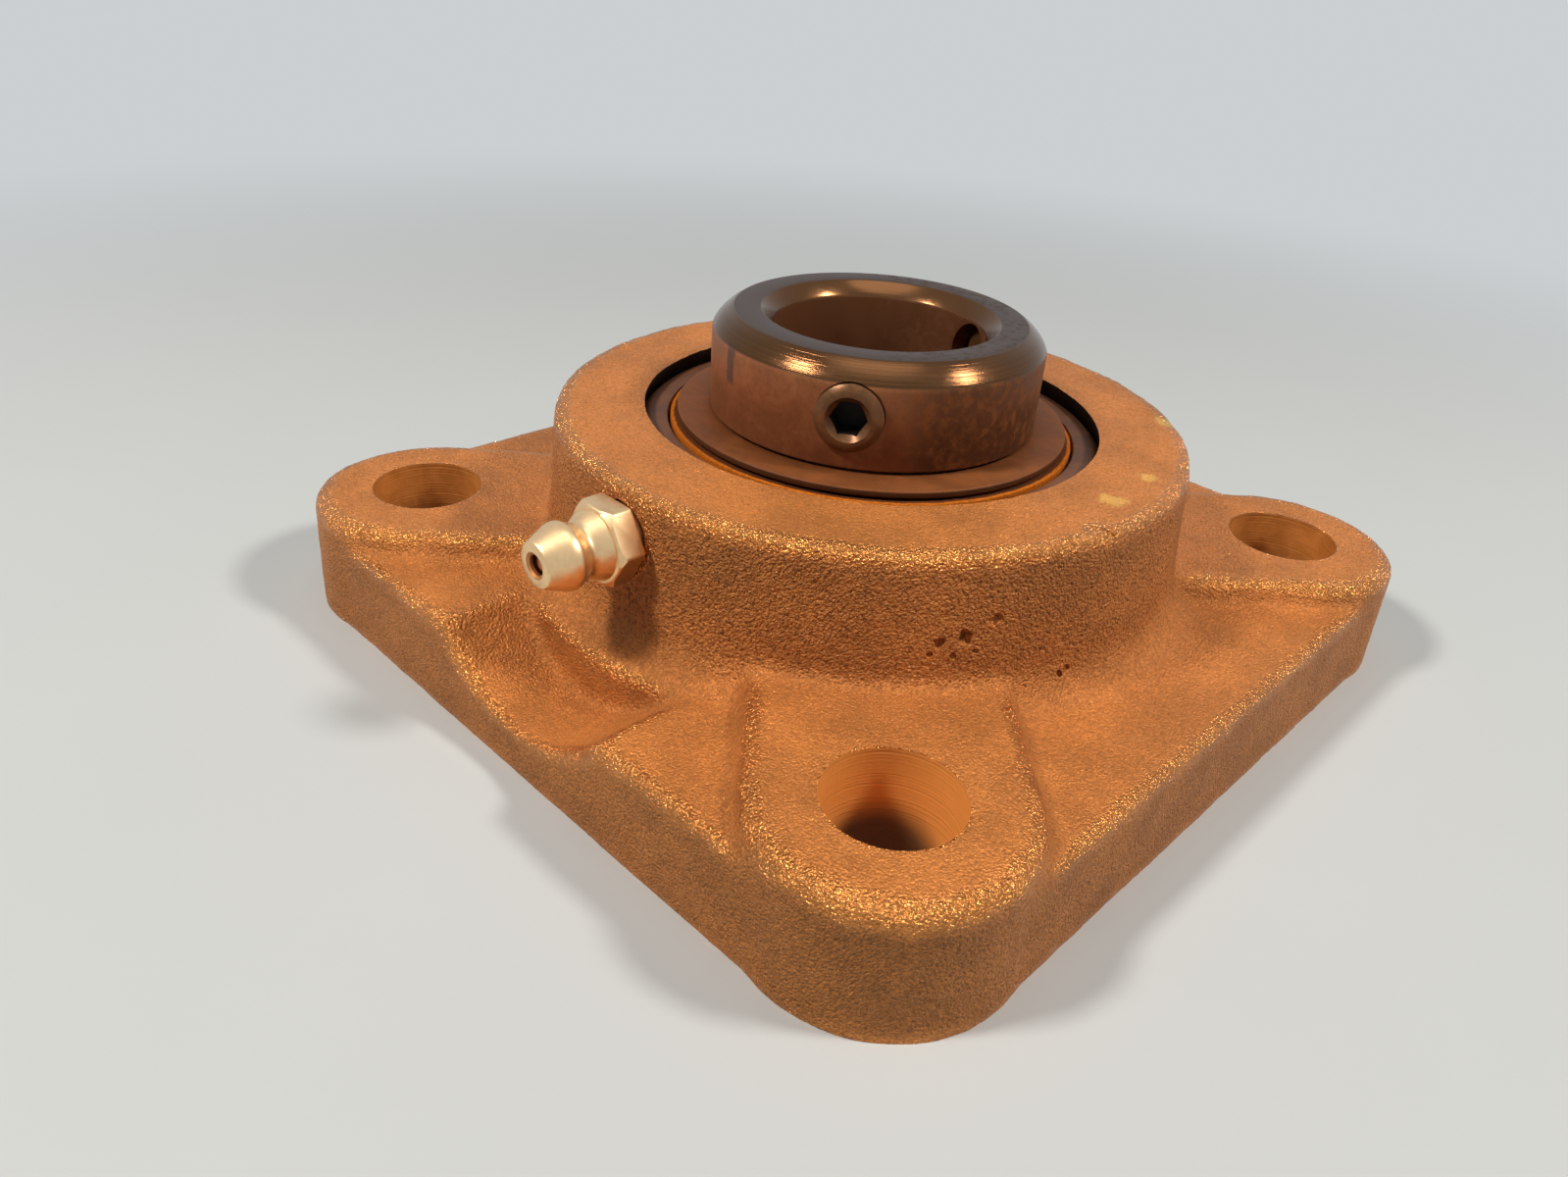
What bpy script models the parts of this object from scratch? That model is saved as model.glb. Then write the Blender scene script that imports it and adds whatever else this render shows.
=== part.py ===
"""Four-bolt flange mount ball bearing: a cast square housing with a self-aligning insert bearing.

Metres, +Z up along the shaft. The origin is the centre of the mounting face. The insert is modelled about its
own centre, which sits on the centre of the housing's spherical seat.
"""

from math import acos, asin, atan, cos, degrees, hypot, pi, radians, sin, sqrt, tau

import bmesh
import bpy
from mathutils import Matrix, Vector

MM = 0.001

# Clearances
RUNNING_GAP = 0.3 * MM  # between pieces that turn or slide past each other
SEAT_GAP = 0.3 * MM  # between pieces that are pressed or screwed together
FACE_GAP = 0.1 * MM  # between flat faces that bear on each other

# Facets
RING_STEPS = 40
HOLE_STEPS = 24
SMALL_STEPS = 16
BALL_STEPS = 12
TINY_STEPS = 8
FILLET_STEPS = 3

# Housing flange
BOLT_SPACING = 69.85 * MM
BOLT_HOLE_RADIUS = 5.95 * MM
CORNER_RADIUS = 12.7 * MM  # round end of each arm, about its bolt hole
FLANGE_INSET = 0.3 * MM  # the flat sides lie this far inside the corners
PAD_HEIGHT = 12.7 * MM
WEB_HEIGHT = 10.2 * MM
FLANGE_DRAFT = 0.045  # sideways lean of the cast walls per height
PAD_FILLET = 1.6 * MM
WEB_FILLET = 1.3 * MM

# Housing hub
HUB_HEIGHT = 25.5 * MM
HUB_WALL = 7.6 * MM  # round the seat, at the top
HUB_DRAFT = 0.085
HUB_FILLET = 1.2 * MM
HUB_FOOT_FILLET = 3.2 * MM
HUB_FOOT_STOP = 5  # degrees short of level, where the foot's flare runs into the web
HUB_ROOT = 5.0 * MM  # how high inside the flange the hub's solid starts
ARM_ROOT_GAP = 2.0 * MM  # keeps the arms' buried ends apart under the hub
RECESS_MARGIN = 3.2 * MM
RECESS_DEPTH = 3.6 * MM
LOADING_SLOT_GAP = 0.5 * MM

# Insert bearing
INSERT_HEIGHT = 16.1 * MM  # centre plane above the mounting face
OUTER_WALL = 4.5 * MM  # from the land to the spherical outside
OUTER_WIDTH = 15.8 * MM
SEAL_STEP = 0.6 * MM  # from the outer ring's land out to its seal seat
OUTER_CHAMFER = 0.5 * MM
BALL_COUNT = 9
BALL_RADIUS = 3.969 * MM
INNER_WALL = 5.7875 * MM  # from the shaft to the inner ring's land
INNER_RACE_DEPTH = 1.619 * MM
OUTER_RACE_DEPTH = 1.719 * MM
SEAL_SEAT_DEPTH = 2.1 * MM
GREASE_GROOVE_OFFSET = 4.5 * MM  # from the centre plane, in line with the grease fitting
GREASE_GROOVE_DEPTH = 0.9 * MM
GREASE_GROOVE_WIDTH = 2.4 * MM
GREASE_HOLE_RADIUS = 0.9 * MM

# Wide inner ring with its set screws
SHAFT_RADIUS = 11.1125 * MM
INNER_FRONT = 19.8 * MM  # front end from the centre plane
INNER_REAR = 14.3 * MM
NOSE_STEP = 0.7 * MM  # the nose stands this far proud of the land
NOSE_BEVEL_WIDTH = 2.15 * MM
NOSE_BEVEL_HEIGHT = 1.85 * MM
BORE_CHAMFER = 1.5 * MM
END_CHAMFER = 0.8 * MM
SCREW_RADIUS = 3.1 * MM
SCREW_LENGTH = 6.2 * MM
SCREW_PROUD = 0.9 * MM
SCREW_SOCKET_FLATS = 3.2 * MM
SCREW_SOCKET_DEPTH = 3.0 * MM
SCREW_CHAMFER = 0.5 * MM
SCREW_FROM_END = 5.15 * MM  # axis to the ring's front end
SCREW_ANGLES = (radians(-57), radians(63))

# Cage
CAGE_LAND_GAP = 1.3 * MM
CAGE_THICKNESS = 2.3 * MM
CAGE_RIM = 0.681 * MM  # beyond the pockets
POCKET_GAP = 0.25 * MM
RIVET_RADIUS = 0.6 * MM
RIVET_HEAD_RADIUS = 1.2 * MM
RIVET_HEAD_HEIGHT = 0.5 * MM

# Seals, the same on both sides
FELT_SHOW = 0.7 * MM  # width of felt that shows round the flinger
FLINGER_THICKNESS = 0.7 * MM
FLINGER_SLEEVE_WALL = 0.7 * MM
FLINGER_SLEEVE_LENGTH = 2.9 * MM
FELT_THICKNESS = 1.2 * MM
FELT_PROUD = 0.2 * MM  # how far the felt stands out of the outer ring
RETAINER_THICKNESS = 0.6 * MM

# Grease fitting on the side of the hub, pointing along -Y
FITTING_THREAD_RADIUS = 3.1 * MM
FITTING_THREAD_LENGTH = 5.0 * MM
FITTING_HEX_FLATS = 7.5 * MM
FITTING_HEX_HEIGHT = 2.7 * MM
FITTING_HEX_CHAMFER = 0.6 * MM
FITTING_CONE_TOP = 4.2 * MM
FITTING_NECK_RADIUS = 2.62 * MM
FITTING_NECK_TOP = 4.6 * MM
FITTING_HEAD_RADIUS = 3.25 * MM
FITTING_HEAD_BASE = 5.8 * MM
FITTING_HEAD_TOP = 6.4 * MM
FITTING_TIP_RADIUS = 2.15 * MM
FITTING_TOP = 9.0 * MM
FITTING_MOUTH_RADIUS = 1.0 * MM
FITTING_MOUTH_DEPTH = 0.5 * MM
FITTING_BORE_RADIUS = 1.6 * MM
FITTING_INLET_RADIUS = 0.75 * MM  # the spring's rear end sits on the ledge it leaves
CHECK_BALL_RADIUS = 1.25 * MM
SPRING_RADIUS = 0.95 * MM
SPRING_WIRE_RADIUS = 0.18 * MM
SPRING_TURNS = 6
SPRING_TURN_POINTS = 8
SPRING_PITCH = 1.0 * MM
COUPLER_RELIEF_RADIUS = 16.1 * MM  # scallop that lets a grease gun's coupler reach the fitting

# Worked-out sizes
BOLT_OFFSET = BOLT_SPACING / 2
FLANGE_HALF = BOLT_OFFSET + CORNER_RADIUS - FLANGE_INSET
ARM_ROOT = CORNER_RADIUS * sqrt(2) + ARM_ROOT_GAP
INNER_LAND_RADIUS = SHAFT_RADIUS + INNER_WALL
PITCH_RADIUS = INNER_LAND_RADIUS + BALL_RADIUS - INNER_RACE_DEPTH
GROOVE_RADIUS = BALL_RADIUS + RUNNING_GAP
OUTER_LAND_RADIUS = PITCH_RADIUS + BALL_RADIUS - OUTER_RACE_DEPTH
OUTER_SHOULDER_RADIUS = OUTER_LAND_RADIUS + SEAL_STEP
OUTER_RADIUS = OUTER_LAND_RADIUS + OUTER_WALL
OUTER_HALF = OUTER_WIDTH / 2
LAND_HALF_WIDTH = OUTER_HALF - SEAL_SEAT_DEPTH
NOSE_RADIUS = INNER_LAND_RADIUS + NOSE_STEP
NOSE_BEVEL_RADIUS = NOSE_RADIUS - NOSE_BEVEL_WIDTH
SCREW_HEIGHT = INNER_FRONT - SCREW_FROM_END
CAGE_INNER_RADIUS = INNER_LAND_RADIUS + CAGE_LAND_GAP
CAGE_OUTER_RADIUS = CAGE_INNER_RADIUS + CAGE_THICKNESS
CAGE_HALF_WIDTH = BALL_RADIUS + POCKET_GAP + CAGE_RIM
SEAT_RADIUS = OUTER_RADIUS + RUNNING_GAP
RECESS_RADIUS = SEAT_RADIUS + RECESS_MARGIN
HUB_TOP_RADIUS = SEAT_RADIUS + HUB_WALL
FITTING_HEIGHT = INSERT_HEIGHT + GREASE_GROOVE_OFFSET
FITTING_SEAT = HUB_TOP_RADIUS + HUB_DRAFT * (HUB_HEIGHT - FITTING_HEIGHT) + SEAT_GAP
SEAL_BORE_RADIUS = INNER_LAND_RADIUS + SEAT_GAP + FLINGER_SLEEVE_WALL + RUNNING_GAP
FELT_RADIUS = OUTER_SHOULDER_RADIUS - SEAT_GAP
FLINGER_RADIUS = FELT_RADIUS - FELT_SHOW
FELT_TOP = OUTER_HALF + FELT_PROUD
RETAINER_TOP = FELT_TOP - FELT_THICKNESS - FACE_GAP
FLINGER_BASE = FELT_TOP + RUNNING_GAP
FLINGER_TOP = FLINGER_BASE + FLINGER_THICKNESS
NOSE_BASE = FLINGER_TOP + SEAT_GAP


def clear_scene():
    for obj in list(bpy.data.objects):
        bpy.data.objects.remove(obj)


def make_material(name, colour, roughness, metallic):
    material = bpy.data.materials.new(name)
    material.use_nodes = True
    shader = material.node_tree.nodes["Principled BSDF"]
    shader.inputs["Base Color"].default_value = (*colour, 1)
    shader.inputs["Roughness"].default_value = roughness
    shader.inputs["Metallic"].default_value = metallic
    return material


def finish_object(name, bm, material=None, parent=None):
    """A closed mesh object with its normals outwards. Without a material it is a hidden cutter."""
    bmesh.ops.remove_doubles(bm, verts=bm.verts, dist=1e-7)
    bmesh.ops.recalc_face_normals(bm, faces=bm.faces)
    mesh = bpy.data.meshes.new(name)
    bm.to_mesh(mesh)
    bm.free()
    mesh.shade_smooth()
    mesh.set_sharp_from_angle(angle=radians(32))
    obj = bpy.data.objects.new(name, mesh)
    bpy.context.scene.collection.objects.link(obj)
    if material:
        mesh.materials.append(material)
    else:
        obj.hide_render = True
        obj.display_type = "WIRE"
    if parent:
        obj.parent = parent
    return obj


def axis_empty(name, place, parent=None):
    empty = bpy.data.objects.new(name, None)
    empty.location = place
    empty.parent = parent
    bpy.context.scene.collection.objects.link(empty)
    return empty


def boolean(obj, other, operation):
    modifier = obj.modifiers.new(f"{operation.lower()}_{other.name}", "BOOLEAN")
    modifier.operation = operation
    modifier.solver = "EXACT"
    modifier.object = other


def arc(centre, radius, start, end, steps):
    """Points (r, z) of a round stretch, angles in degrees from +r towards +z."""
    points = []
    for i in range(steps + 1):
        angle = radians(start + (end - start) * i / steps)
        points.append((centre[0] + radius * cos(angle), centre[1] + radius * sin(angle)))
    return points


def turned_mesh(profile, steps=RING_STEPS):
    """The closed outline (r, z) turned once round Z."""
    bm = bmesh.new()
    verts = [bm.verts.new((r, 0, z)) for r, z in profile]
    edges = [bm.edges.new((a, b)) for a, b in zip(verts, verts[1:] + verts[:1])]
    bmesh.ops.spin(
        bm, geom=verts + edges, cent=(0, 0, 0), axis=(0, 0, 1), angle=tau, steps=steps, use_merge=True
    )
    bmesh.ops.remove_doubles(bm, verts=bm.verts, dist=1e-7)
    bmesh.ops.dissolve_degenerate(bm, edges=bm.edges, dist=1e-7)
    return bm


def turned(name, profile, material=None, parent=None, steps=RING_STEPS):
    return finish_object(name, turned_mesh(profile, steps), material, parent)


def lofted(name, rings, material=None):
    """A solid through outlines with the same number of points, closed at both ends."""
    bm = bmesh.new()
    loops = [[bm.verts.new(point) for point in ring] for ring in rings]
    bm.faces.new(loops[0])
    bm.faces.new(loops[-1])
    for lower, upper in zip(loops, loops[1:]):
        for i in range(len(lower)):
            j = (i + 1) % len(lower)
            bm.faces.new((lower[i], lower[j], upper[j], upper[i]))
    return finish_object(name, bm, material)


def radial_cylinder(name, radius, near, far, angle, height, parent=None, steps=SMALL_STEPS):
    """A cutter along a spoke from the Z axis, at an angle and a height."""
    cutter = turned(name, [(0, near), (radius, near), (radius, far), (0, far)], None, parent, steps)
    cutter.matrix_local = spoke_frame(angle, height)
    return cutter


def spoke_frame(angle, height):
    """Turns local +Z to point outwards along a spoke at an angle, at a height."""
    outwards = Matrix.Rotation(angle, 4, "Z") @ Matrix.Rotation(pi / 2, 4, "Y")
    return Matrix.Translation((0, 0, height)) @ outwards


def hex_prism(name, flats, low, high, material=None, parent=None):
    """A six-sided bar along Z, given across its flats."""
    bm = bmesh.new()
    corner = flats / sqrt(3)
    bmesh.ops.create_cone(
        bm, cap_ends=True, segments=6, radius1=corner, radius2=corner, depth=high - low
    )
    bmesh.ops.translate(bm, vec=(0, 0, (low + high) / 2), verts=bm.verts)
    return finish_object(name, bm, material, parent)


def edge_levels(top, size, fillet):
    """(height, outline size) pairs of a drafted wall with a rounded top edge."""
    shoulder = top - fillet
    at_shoulder = size - FLANGE_DRAFT * shoulder
    levels = [(0, size)]
    levels += [
        (z, at_shoulder - fillet + r) for r, z in arc((0, shoulder), fillet, 0, 90, FILLET_STEPS)
    ]
    return levels


def rounded_square(half, corner, height):
    points = []
    for quarter in range(4):
        for i in range(TINY_STEPS + 1):
            angle = quarter * pi / 2 + (pi / 2) * i / TINY_STEPS
            sign_x = 1 if quarter in (0, 3) else -1
            sign_y = 1 if quarter in (0, 1) else -1
            points.append((
                sign_x * (half - corner) + corner * cos(angle),
                sign_y * (half - corner) + corner * sin(angle),
                height,
            ))
    return points


def stadium(end_centre, radius, height):
    """An outline from under the hub to a round end about end_centre."""
    length = hypot(*end_centre)
    along = (end_centre[0] / length, end_centre[1] / length)
    points = []
    for centre, start in ((length, -pi / 2), (ARM_ROOT, pi / 2)):
        for i in range(SMALL_STEPS + 1):
            angle = start + pi * i / SMALL_STEPS
            u = centre + radius * cos(angle)
            v = radius * sin(angle)
            points.append((u * along[0] - v * along[1], u * along[1] + v * along[0], height))
    return points


def bolt_places():
    return [(x * BOLT_OFFSET, y * BOLT_OFFSET) for x in (-1, 1) for y in (-1, 1)]


def hub_profile():
    """Solid hub with drafted wall, rounded top edge and a flared foot on the web."""
    shoulder = HUB_HEIGHT - HUB_FILLET
    foot_z = WEB_HEIGHT + HUB_FOOT_FILLET
    foot_r = HUB_TOP_RADIUS + HUB_DRAFT * (HUB_HEIGHT - foot_z)
    flare_centre = (foot_r + HUB_FOOT_FILLET, foot_z)
    flare = arc(flare_centre, HUB_FOOT_FILLET, 180, 270 - HUB_FOOT_STOP, FILLET_STEPS + 1)
    lean = degrees(atan(HUB_DRAFT))
    crown = arc((HUB_TOP_RADIUS - HUB_FILLET, shoulder), HUB_FILLET, lean, 90, FILLET_STEPS)
    return [(0, HUB_HEIGHT)] + crown[::-1] + flare + [(flare[-1][0], HUB_ROOT), (0, HUB_ROOT)]


def seat_profile():
    """What is cut out for the insert: the spherical seat, open at the top, and the recess in the back."""
    top = HUB_HEIGHT - INSERT_HEIGHT
    low = RECESS_DEPTH - INSERT_HEIGHT
    start, end = (degrees(asin(level / SEAT_RADIUS)) for level in (top, low))
    seat = arc((0, INSERT_HEIGHT), SEAT_RADIUS, start, end, TINY_STEPS + 2)
    over = (seat[0][0], HUB_HEIGHT + CORNER_RADIUS)
    return [(0, over[1]), over] + seat + [
        (RECESS_RADIUS, RECESS_DEPTH), (RECESS_RADIUS, -RECESS_DEPTH), (0, -RECESS_DEPTH)
    ]


def build_housing(material):
    levels = edge_levels(WEB_HEIGHT, FLANGE_HALF, WEB_FILLET)
    corner_inset = FLANGE_HALF - CORNER_RADIUS
    housing = lofted(
        "housing", [rounded_square(half, half - corner_inset, z) for z, half in levels], material
    )
    relief = radial_cylinder(
        "cut_coupler_relief", COUPLER_RELIEF_RADIUS, HUB_TOP_RADIUS, 2 * FLANGE_HALF, -pi / 2, FITTING_HEIGHT,
        steps=RING_STEPS,
    )
    boolean(housing, relief, "DIFFERENCE")
    for number, place in enumerate(bolt_places(), 1):
        rings = [stadium(place, r, z) for z, r in edge_levels(PAD_HEIGHT, CORNER_RADIUS, PAD_FILLET)]
        boolean(housing, lofted(f"join_arm_{number}", rings), "UNION")
    boolean(housing, turned("join_hub", hub_profile()), "UNION")
    boolean(housing, turned("cut_seat", seat_profile()), "DIFFERENCE")
    for number, (x, y) in enumerate(bolt_places(), 1):
        hole = turned(
            f"cut_bolt_hole_{number}",
            [(0, -PAD_HEIGHT), (BOLT_HOLE_RADIUS, -PAD_HEIGHT)]
            + [(BOLT_HOLE_RADIUS, 2 * PAD_HEIGHT), (0, 2 * PAD_HEIGHT)],
            steps=HOLE_STEPS,
        )
        hole.location = (x, y, 0)
        boolean(housing, hole, "DIFFERENCE")
    thread = radial_cylinder(
        "cut_fitting_thread", FITTING_THREAD_RADIUS + SEAT_GAP, OUTER_RADIUS / 2, FLANGE_HALF,
        -pi / 2, FITTING_HEIGHT,
    )
    boolean(housing, thread, "DIFFERENCE")
    boolean(housing, build_loading_slot(), "DIFFERENCE")
    return housing


def build_loading_slot():
    """Two opposite notches behind the seat, where the insert goes in edgeways before it is turned flat."""
    half_width = OUTER_HALF + LOADING_SLOT_GAP
    reach = SEAT_RADIUS + LOADING_SLOT_GAP
    corner = sqrt(reach**2 - half_width**2)
    points = []
    for side in (1, -1):
        for i in range(TINY_STEPS + 1):
            share = 2 * i / TINY_STEPS - 1
            y = side * half_width * share
            points.append((side * sqrt(reach**2 - y**2), y))
    return lofted("cut_loading_slot", [[(x, y, z) for x, y in points] for z in (-corner, INSERT_HEIGHT)])


def build_outer_ring(material, centre):
    edge = sqrt(OUTER_RADIUS**2 - OUTER_HALF**2)
    edge_angle = degrees(asin(OUTER_HALF / OUTER_RADIUS))
    groove = [
        (sqrt(OUTER_RADIUS**2 - z**2) - depth, z)
        for z, depth in (
            (GREASE_GROOVE_OFFSET + GREASE_GROOVE_WIDTH / 2, 0),
            (GREASE_GROOVE_OFFSET + GREASE_GROOVE_WIDTH / 4, GREASE_GROOVE_DEPTH),
            (GREASE_GROOVE_OFFSET - GREASE_GROOVE_WIDTH / 4, GREASE_GROOVE_DEPTH),
            (GREASE_GROOVE_OFFSET - GREASE_GROOVE_WIDTH / 2, 0),
        )
    ]
    outside = arc((0, 0), OUTER_RADIUS, edge_angle, -edge_angle, TINY_STEPS)
    below = [point for point in outside if point[1] < groove[-1][1] - OUTER_CHAMFER]
    race_angle = degrees(acos((OUTER_LAND_RADIUS - PITCH_RADIUS) / GROOVE_RADIUS))
    race = arc((PITCH_RADIUS, 0), GROOVE_RADIUS, -race_angle, race_angle, 2 * FILLET_STEPS)
    profile = (
        [(edge - OUTER_CHAMFER, OUTER_HALF), (edge, OUTER_HALF - OUTER_CHAMFER)]
        + groove
        + below[:-1]
        + [(edge, OUTER_CHAMFER - OUTER_HALF), (edge - OUTER_CHAMFER, -OUTER_HALF)]
        + [(OUTER_SHOULDER_RADIUS, -OUTER_HALF), (OUTER_SHOULDER_RADIUS, -LAND_HALF_WIDTH)]
        + [(OUTER_LAND_RADIUS, -LAND_HALF_WIDTH)]
        + race
        + [(OUTER_LAND_RADIUS, LAND_HALF_WIDTH), (OUTER_SHOULDER_RADIUS, LAND_HALF_WIDTH)]
        + [(OUTER_SHOULDER_RADIUS, OUTER_HALF)]
    )
    ring = turned("outer_ring", profile, material, centre)
    hole = radial_cylinder(
        "cut_grease_hole", GREASE_HOLE_RADIUS, PITCH_RADIUS, OUTER_RADIUS + OUTER_WALL,
        -pi / 2, GREASE_GROOVE_OFFSET, centre, TINY_STEPS,
    )
    boolean(ring, hole, "DIFFERENCE")


def build_inner_ring(material, spin):
    race_angle = degrees(acos((PITCH_RADIUS - INNER_LAND_RADIUS) / GROOVE_RADIUS))
    race = arc((PITCH_RADIUS, 0), GROOVE_RADIUS, 180 - race_angle, 180 + race_angle, 2 * FILLET_STEPS)
    profile = (
        [(SHAFT_RADIUS + BORE_CHAMFER, INNER_FRONT), (NOSE_BEVEL_RADIUS, INNER_FRONT)]
        + [(NOSE_RADIUS, INNER_FRONT - NOSE_BEVEL_HEIGHT), (NOSE_RADIUS, NOSE_BASE)]
        + [(INNER_LAND_RADIUS, NOSE_BASE)]
        + race
        + [(INNER_LAND_RADIUS, END_CHAMFER - INNER_REAR), (INNER_LAND_RADIUS - END_CHAMFER, -INNER_REAR)]
        + [(SHAFT_RADIUS + END_CHAMFER, -INNER_REAR), (SHAFT_RADIUS, END_CHAMFER - INNER_REAR)]
        + [(SHAFT_RADIUS, INNER_FRONT - BORE_CHAMFER)]
    )
    ring = turned("inner_ring", profile, material, spin)
    for number, angle in enumerate(SCREW_ANGLES, 1):
        hole = radial_cylinder(
            f"cut_screw_hole_{number}", SCREW_RADIUS + SEAT_GAP, SHAFT_RADIUS / 2, 2 * NOSE_RADIUS,
            angle, SCREW_HEIGHT, spin,
        )
        boolean(ring, hole, "DIFFERENCE")


def build_set_screws(material, spin):
    """Cup-point socket screws, backed out so that they stand a little proud of the ring."""
    outer = NOSE_RADIUS + SCREW_PROUD
    inner = outer - SCREW_LENGTH
    profile = [
        (0, inner + SCREW_CHAMFER), (SCREW_RADIUS / 2, inner), (SCREW_RADIUS - SCREW_CHAMFER, inner),
        (SCREW_RADIUS, inner + SCREW_CHAMFER), (SCREW_RADIUS, outer - SCREW_CHAMFER),
        (SCREW_RADIUS - SCREW_CHAMFER, outer), (0, outer),
    ]
    for number, angle in enumerate(SCREW_ANGLES, 1):
        screw = turned(f"set_screw_{number}", profile, material, spin, SMALL_STEPS)
        screw.matrix_local = spoke_frame(angle, SCREW_HEIGHT)
        socket = hex_prism(
            f"cut_socket_{number}", SCREW_SOCKET_FLATS, outer - SCREW_SOCKET_DEPTH, outer + SCREW_LENGTH,
            parent=spin,
        )
        socket.matrix_local = spoke_frame(angle, SCREW_HEIGHT)
        boolean(screw, socket, "DIFFERENCE")


def ball_angle(number):
    return tau * number / BALL_COUNT


def build_balls(material, spin):
    bm = bmesh.new()
    bmesh.ops.create_uvsphere(bm, u_segments=BALL_STEPS, v_segments=TINY_STEPS, radius=BALL_RADIUS)
    first = finish_object("ball_1", bm, material, spin)
    for number in range(BALL_COUNT):
        ball = first if number == 0 else bpy.data.objects.new(f"ball_{number + 1}", first.data)
        if number:
            bpy.context.scene.collection.objects.link(ball)
            ball.parent = spin
        ball.location = (PITCH_RADIUS * cos(ball_angle(number)), PITCH_RADIUS * sin(ball_angle(number)), 0)


def build_cage(material, rivet_material, spin):
    """Two halves round the balls, held together by a rivet between each pair of balls."""
    pockets = [
        radial_cylinder(
            f"cut_pocket_{number + 1}", BALL_RADIUS + POCKET_GAP,
            CAGE_INNER_RADIUS / 2, 2 * CAGE_OUTER_RADIUS, ball_angle(number), 0, spin,
        )
        for number in range(BALL_COUNT)
    ]
    holes = []
    for number in range(BALL_COUNT):
        angle = ball_angle(number + 0.5)
        middle = (CAGE_INNER_RADIUS + CAGE_OUTER_RADIUS) / 2
        place = (middle * cos(angle), middle * sin(angle), 0)
        reach = 2 * CAGE_HALF_WIDTH
        hole_radius = RIVET_RADIUS + SEAT_GAP
        hole = turned(
            f"cut_rivet_hole_{number + 1}",
            [(0, -reach), (hole_radius, -reach), (hole_radius, reach), (0, reach)],
            None, spin, TINY_STEPS,
        )
        hole.location = place
        holes.append(hole)
        low = CAGE_HALF_WIDTH + FACE_GAP
        high = low + RIVET_HEAD_HEIGHT
        rivet = turned(
            f"cage_rivet_{number + 1}",
            [(0, high), (RIVET_HEAD_RADIUS, low), (RIVET_RADIUS, low)]
            + [(RIVET_RADIUS, -low), (RIVET_HEAD_RADIUS, -low), (0, -high)],
            rivet_material, spin, TINY_STEPS,
        )
        rivet.location = place
    for name, low, high in (
        ("cage_front", FACE_GAP / 2, CAGE_HALF_WIDTH), ("cage_rear", -CAGE_HALF_WIDTH, -FACE_GAP / 2)
    ):
        half = turned(
            name,
            [(CAGE_INNER_RADIUS, low), (CAGE_OUTER_RADIUS, low)]
            + [(CAGE_OUTER_RADIUS, high), (CAGE_INNER_RADIUS, high)],
            material, spin, BALL_COUNT * FILLET_STEPS * 2,
        )
        for cutter in pockets + holes:
            boolean(half, cutter, "DIFFERENCE")


def build_seals(steel, felt, centre, spin):
    """Each side: a steel retainer and a felt ring in the outer ring, and a flinger on the inner ring."""
    sleeve_inner = INNER_LAND_RADIUS + SEAT_GAP
    sleeve_outer = sleeve_inner + FLINGER_SLEEVE_WALL
    sleeve_end = FLINGER_TOP - FLINGER_SLEEVE_LENGTH
    flinger = [
        (sleeve_inner, FLINGER_TOP), (FLINGER_RADIUS - FLINGER_THICKNESS / 3, FLINGER_TOP),
        (FLINGER_RADIUS, FLINGER_TOP - FLINGER_THICKNESS / 3), (FLINGER_RADIUS, FLINGER_BASE),
        (sleeve_outer, FLINGER_BASE), (sleeve_outer, sleeve_end), (sleeve_inner, sleeve_end),
    ]
    felt_low = FELT_TOP - FELT_THICKNESS
    felt_ring = [
        (SEAL_BORE_RADIUS, FELT_TOP), (FELT_RADIUS, FELT_TOP),
        (FELT_RADIUS, felt_low), (SEAL_BORE_RADIUS, felt_low),
    ]
    retainer_low = RETAINER_TOP - RETAINER_THICKNESS
    retainer = [
        (SEAL_BORE_RADIUS, RETAINER_TOP), (FELT_RADIUS, RETAINER_TOP),
        (FELT_RADIUS, retainer_low), (SEAL_BORE_RADIUS, retainer_low),
    ]
    for side, flip in (("front", 1), ("rear", -1)):
        for name, outline, material, parent in (
            ("flinger", flinger, steel, spin), ("felt_seal", felt_ring, felt, centre),
            ("seal_retainer", retainer, steel, centre),
        ):
            turned(f"{side}_{name}", [(r, flip * z) for r, z in outline], material, parent)


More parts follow.
